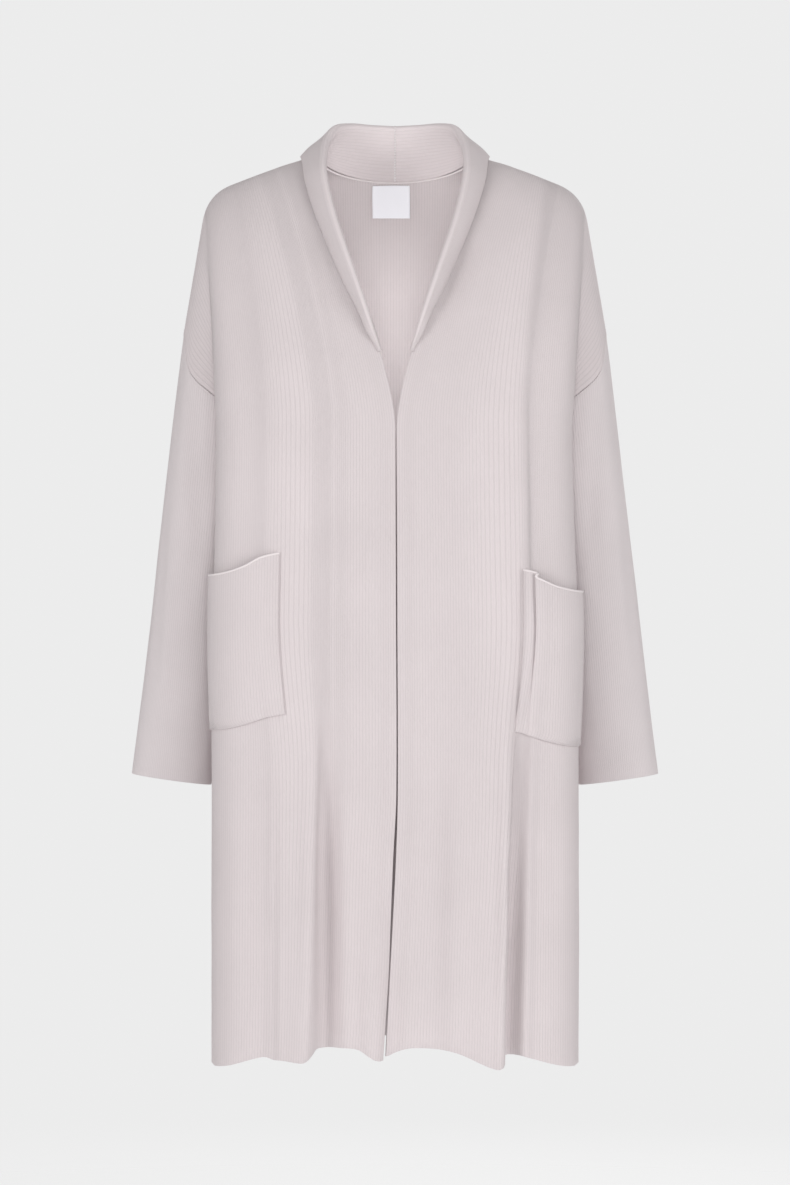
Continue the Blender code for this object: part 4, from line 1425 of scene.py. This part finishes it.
def collar_seam():
    """Up the stand, over the roll and down the fall, where the two halves meet."""
    row = []
    for point, way in zip(COLLARS[1][-1], grid_normals(COLLARS[1])[-1]):
        out = Vector((0.0, way.y, way.z)).normalized()
        row.append((Vector((0.0, point.y, point.z)) + out * COLLAR_KNIT, out))
    return row


def stitch(pitch, length, width, height, lean, unevenness, seed, yarn):
    """The inputs of a row of stitches, by their names in the tree."""
    return {
        "Pitch": pitch, "Length": length, "Width": width, "Height": height,
        "Lean": math.radians(lean), "Unevenness": unevenness, "Seed": seed, "Yarn": yarn,
    }


LINKS = stitch(0.0030, 0.0026, 0.0009, 0.0008, 62.0, 0.15, 4, LINKING_YARN)
panel_rows = panel_seams(1) + panel_seams(-1) + [collar_seam()]
sewn_piece("linking_stitches", panel_rows, STITCH_TREE, LINKS)

# %% [markdown]
# ## Running stitches
# A pocket is held by small stitches just inside three of its edges, and the label
# by finer ones in thread. They use the same tree with other sizes and no lean.

# %% Sew on the pockets and the label
POCKET_INSET = 0.55
LABEL_INSET = 0.4


def round_three_sides(grid, turn, inset):
    """Down one side of a patch, along its bottom and up the other, inside its edge."""
    ways = grid_normals(grid, turn)
    top, last = len(grid) - 1, len(grid[0]) - 1
    places = [(r, inset) for r in range(top, 1, -1)]
    places += [(2 * inset, c) for c in range(1, last)]
    places += [(r, last - inset) for r in range(2, top + 1)]
    return [(grid_at(grid, r, c), grid_at(ways, r, c).normalized()) for r, c in places]


RUNNING = stitch(0.0030, 0.0021, 0.0008, 0.0006, 0.0, 0.12, 7, LINKING_YARN)
FINE = stitch(0.0018, 0.0013, 0.0004, 0.0003, 0.0, 0.10, 9, LABEL_THREAD)
pocket_rows = [round_three_sides(POCKETS[side], side, POCKET_INSET) for side in (1, -1)]
sewn_piece("pocket_stitches", pocket_rows, STITCH_TREE, RUNNING)
label_rows = [round_three_sides(LABEL, 1, LABEL_INSET)]
sewn_piece("label_stitches", label_rows, STITCH_TREE, FINE)

# %% [markdown]
# ## Rolled rims
# A knitted edge rolls to its outer face. The pocket mouths show it, and a narrow
# roll also covers the seam along the inside of the back neck. Both are a ring
# drawn along a line, by the second tree. Their yarn is painted paler than the knit,
# a painted highlight on each raised roll.

# %% Roll the pocket mouths and bind the neck seam
RIM_STEP = 0.002
RIM_RADIUS = 0.0014
BINDING_RADIUS = 0.0012


def mouth_rim(side):
    top = list(zip(POCKETS[side][-1], grid_normals(POCKETS[side], side)[-1]))
    return [(point - way * KNIT / 2, way) for point, way in top]


def neck_binding():
    """Along the inside of the back neck, over the seam that holds the collar."""
    near = slice(CENTRE_COLUMN - NECK_FINE, CENTRE_COLUMN + NECK_FINE + 1)
    top = list(zip(BACK[-1][near], grid_normals(BACK)[-1][near]))
    return [(point - way * (KNIT + BINDING_RADIUS / 2), way) for point, way in top]


RIM = {"Step": RIM_STEP, "Radius": RIM_RADIUS, "Yarn": RIM_HIGHLIGHT_YARN}
BINDING = {**RIM, "Radius": BINDING_RADIUS}
sewn_piece("mouth_rims", [mouth_rim(1), mouth_rim(-1)], RIM_TREE, RIM)
sewn_piece("neck_binding", [neck_binding()], RIM_TREE, BINDING)


# %% [markdown]
# ## Camera
# The photograph was taken level with the middle of the coat, from far enough
# away that its lines stay straight. The lens follows from the picture's height
# and the distance. The Standard view keeps colours as they are, as in a product
# photograph.

# %% Place the camera
IMAGE_HEIGHT = 1185
METRES_PER_PIXEL = 0.00112
CAMERA_DISTANCE = 4.5
CAMERA_HEIGHT = -0.479
SENSOR = 36.0

camera_data = bpy.data.cameras.new("camera")
camera_data.sensor_width = SENSOR
camera_data.lens = SENSOR * CAMERA_DISTANCE / (IMAGE_HEIGHT * METRES_PER_PIXEL)
camera = bpy.data.objects.new("camera", camera_data)
camera.location = (0.0, -CAMERA_DISTANCE, CAMERA_HEIGHT)
camera.rotation_euler = (math.radians(90.0), 0.0, 0.0)
bpy.context.scene.collection.objects.link(camera)
bpy.context.scene.camera = camera
bpy.context.scene.view_settings.view_transform = "Standard"
print("the camera's lens is", round(camera_data.lens, 1), "mm")


# %% [markdown]
# ## Light, surround and floor
# Pale knitwear is photographed in even, soft light. Soft boxes stand at the left,
# low behind the camera and at the right, and one behind the coat lights its back.
# A small one that the camera doesn't see lights the inside of the neck. The
# surround is an even pale grey that looks brighter than it shines, so it doesn't
# wash out the folds. The floor fades out, so it has no edge.

# %% Make the lights
def soft_box(name, place, aim, size, power):
    data = bpy.data.lights.new(name, "AREA")
    data.shape = "SQUARE"
    data.size = size
    data.energy = power
    lamp = bpy.data.objects.new(name, data)
    lamp.location = place
    lamp.rotation_euler = (Vector(aim) - Vector(place)).to_track_quat("-Z", "Y").to_euler()
    bpy.context.scene.collection.objects.link(lamp)
    return lamp


CHEST = (0.0, 0.0, -0.45)
LIGHTS = (
    # name, place, side of the square, watts
    ("key_light", (-3.0, -3.2, 0.0), 1.6, 61.0),
    ("front_light", (0.0, -4.9, -0.6), 1.2, 59.0),
    ("fill_light", (3.2, -2.9, -0.1), 2.0, 64.0),
    ("back_light", (0.6, 4.2, 1.0), 2.4, 100.0),
)
for name, place, size, power in LIGHTS:
    soft_box(name, place, CHEST, size, power)
neck_light = soft_box("neck_light", (0.0, -0.045, -0.20), (0.0, 0.1, -0.18), 0.19, 0.26)
neck_light.data.shape = "RECTANGLE"
neck_light.data.size_y = 0.20
neck_light.visible_camera = False
print("placed", len(LIGHTS) + 1, "lights")


# %% Make the surround
WHITE = (1.0, 1.0, 1.0, 1.0)
SEEN_GREY = 0.84
SHINING_GREY = 0.48


def make_surround():
    """A world that the camera sees a little brighter than it shines."""
    world = bpy.data.worlds.new("studio")
    world.use_nodes = True
    tree = world.node_tree
    shine = tree.nodes["Background"]
    fill(tree, shine, {"Color": WHITE, "Strength": SHINING_GREY})
    seen = node(tree, "ShaderNodeBackground", {"Color": WHITE, "Strength": SEEN_GREY})
    path = node(tree, "ShaderNodeLightPath")
    both = node(tree, "ShaderNodeMixShader", {
        0: path.outputs["Is Camera Ray"], 1: shine.outputs[0], 2: seen.outputs[0],
    })
    fill(tree, tree.nodes["World Output"], {"Surface": both.outputs[0]})
    return world


bpy.context.scene.world = make_surround()
print("the surround shines at", SHINING_GREY, "and is seen at", SEEN_GREY)

# %% Make the floor
FLOOR_Z = -1.45
FLOOR_RADIUS = 3.0
FLOOR_FADE_START = 1.0
FLOOR_STEPS = 64
FLOOR_GREY = 0.86


def make_floor():
    """A round pale floor where the wearer's feet would be, fading out at its edge."""
    turns = [2 * math.pi * n / FLOOR_STEPS for n in range(FLOOR_STEPS)]
    rim = [(FLOOR_RADIUS * math.cos(a), FLOOR_RADIUS * math.sin(a), FLOOR_Z) for a in turns]
    mesh = bpy.data.meshes.new("floor")
    mesh.from_pydata(rim, [], [list(range(FLOOR_STEPS))])
    material, tree, shader = new_material("pale_floor", {
        "Base Color": (FLOOR_GREY, FLOOR_GREY, FLOOR_GREY, 1.0),
        "Roughness": 1.0,
        "Specular IOR Level": 0.0,
    })
    place = node(tree, "ShaderNodeTexCoord")
    flat = node(tree, "ShaderNodeVectorMath", {
        0: place.outputs["Object"], 1: (1.0, 1.0, 0.0),
    }, operation="MULTIPLY")
    far = node(tree, "ShaderNodeVectorMath", {0: flat.outputs[0]}, operation="LENGTH")
    fade = smooth_step(tree, far.outputs["Value"], {
        "From Min": FLOOR_FADE_START, "From Max": FLOOR_RADIUS, "To Min": 1.0, "To Max": 0.0,
    })
    fill(tree, shader, {"Alpha": fade})
    mesh.materials.append(material)
    floor = bpy.data.objects.new("floor", mesh)
    bpy.context.scene.collection.objects.link(floor)
    return floor


make_floor()
print("laid the floor at", FLOOR_Z)
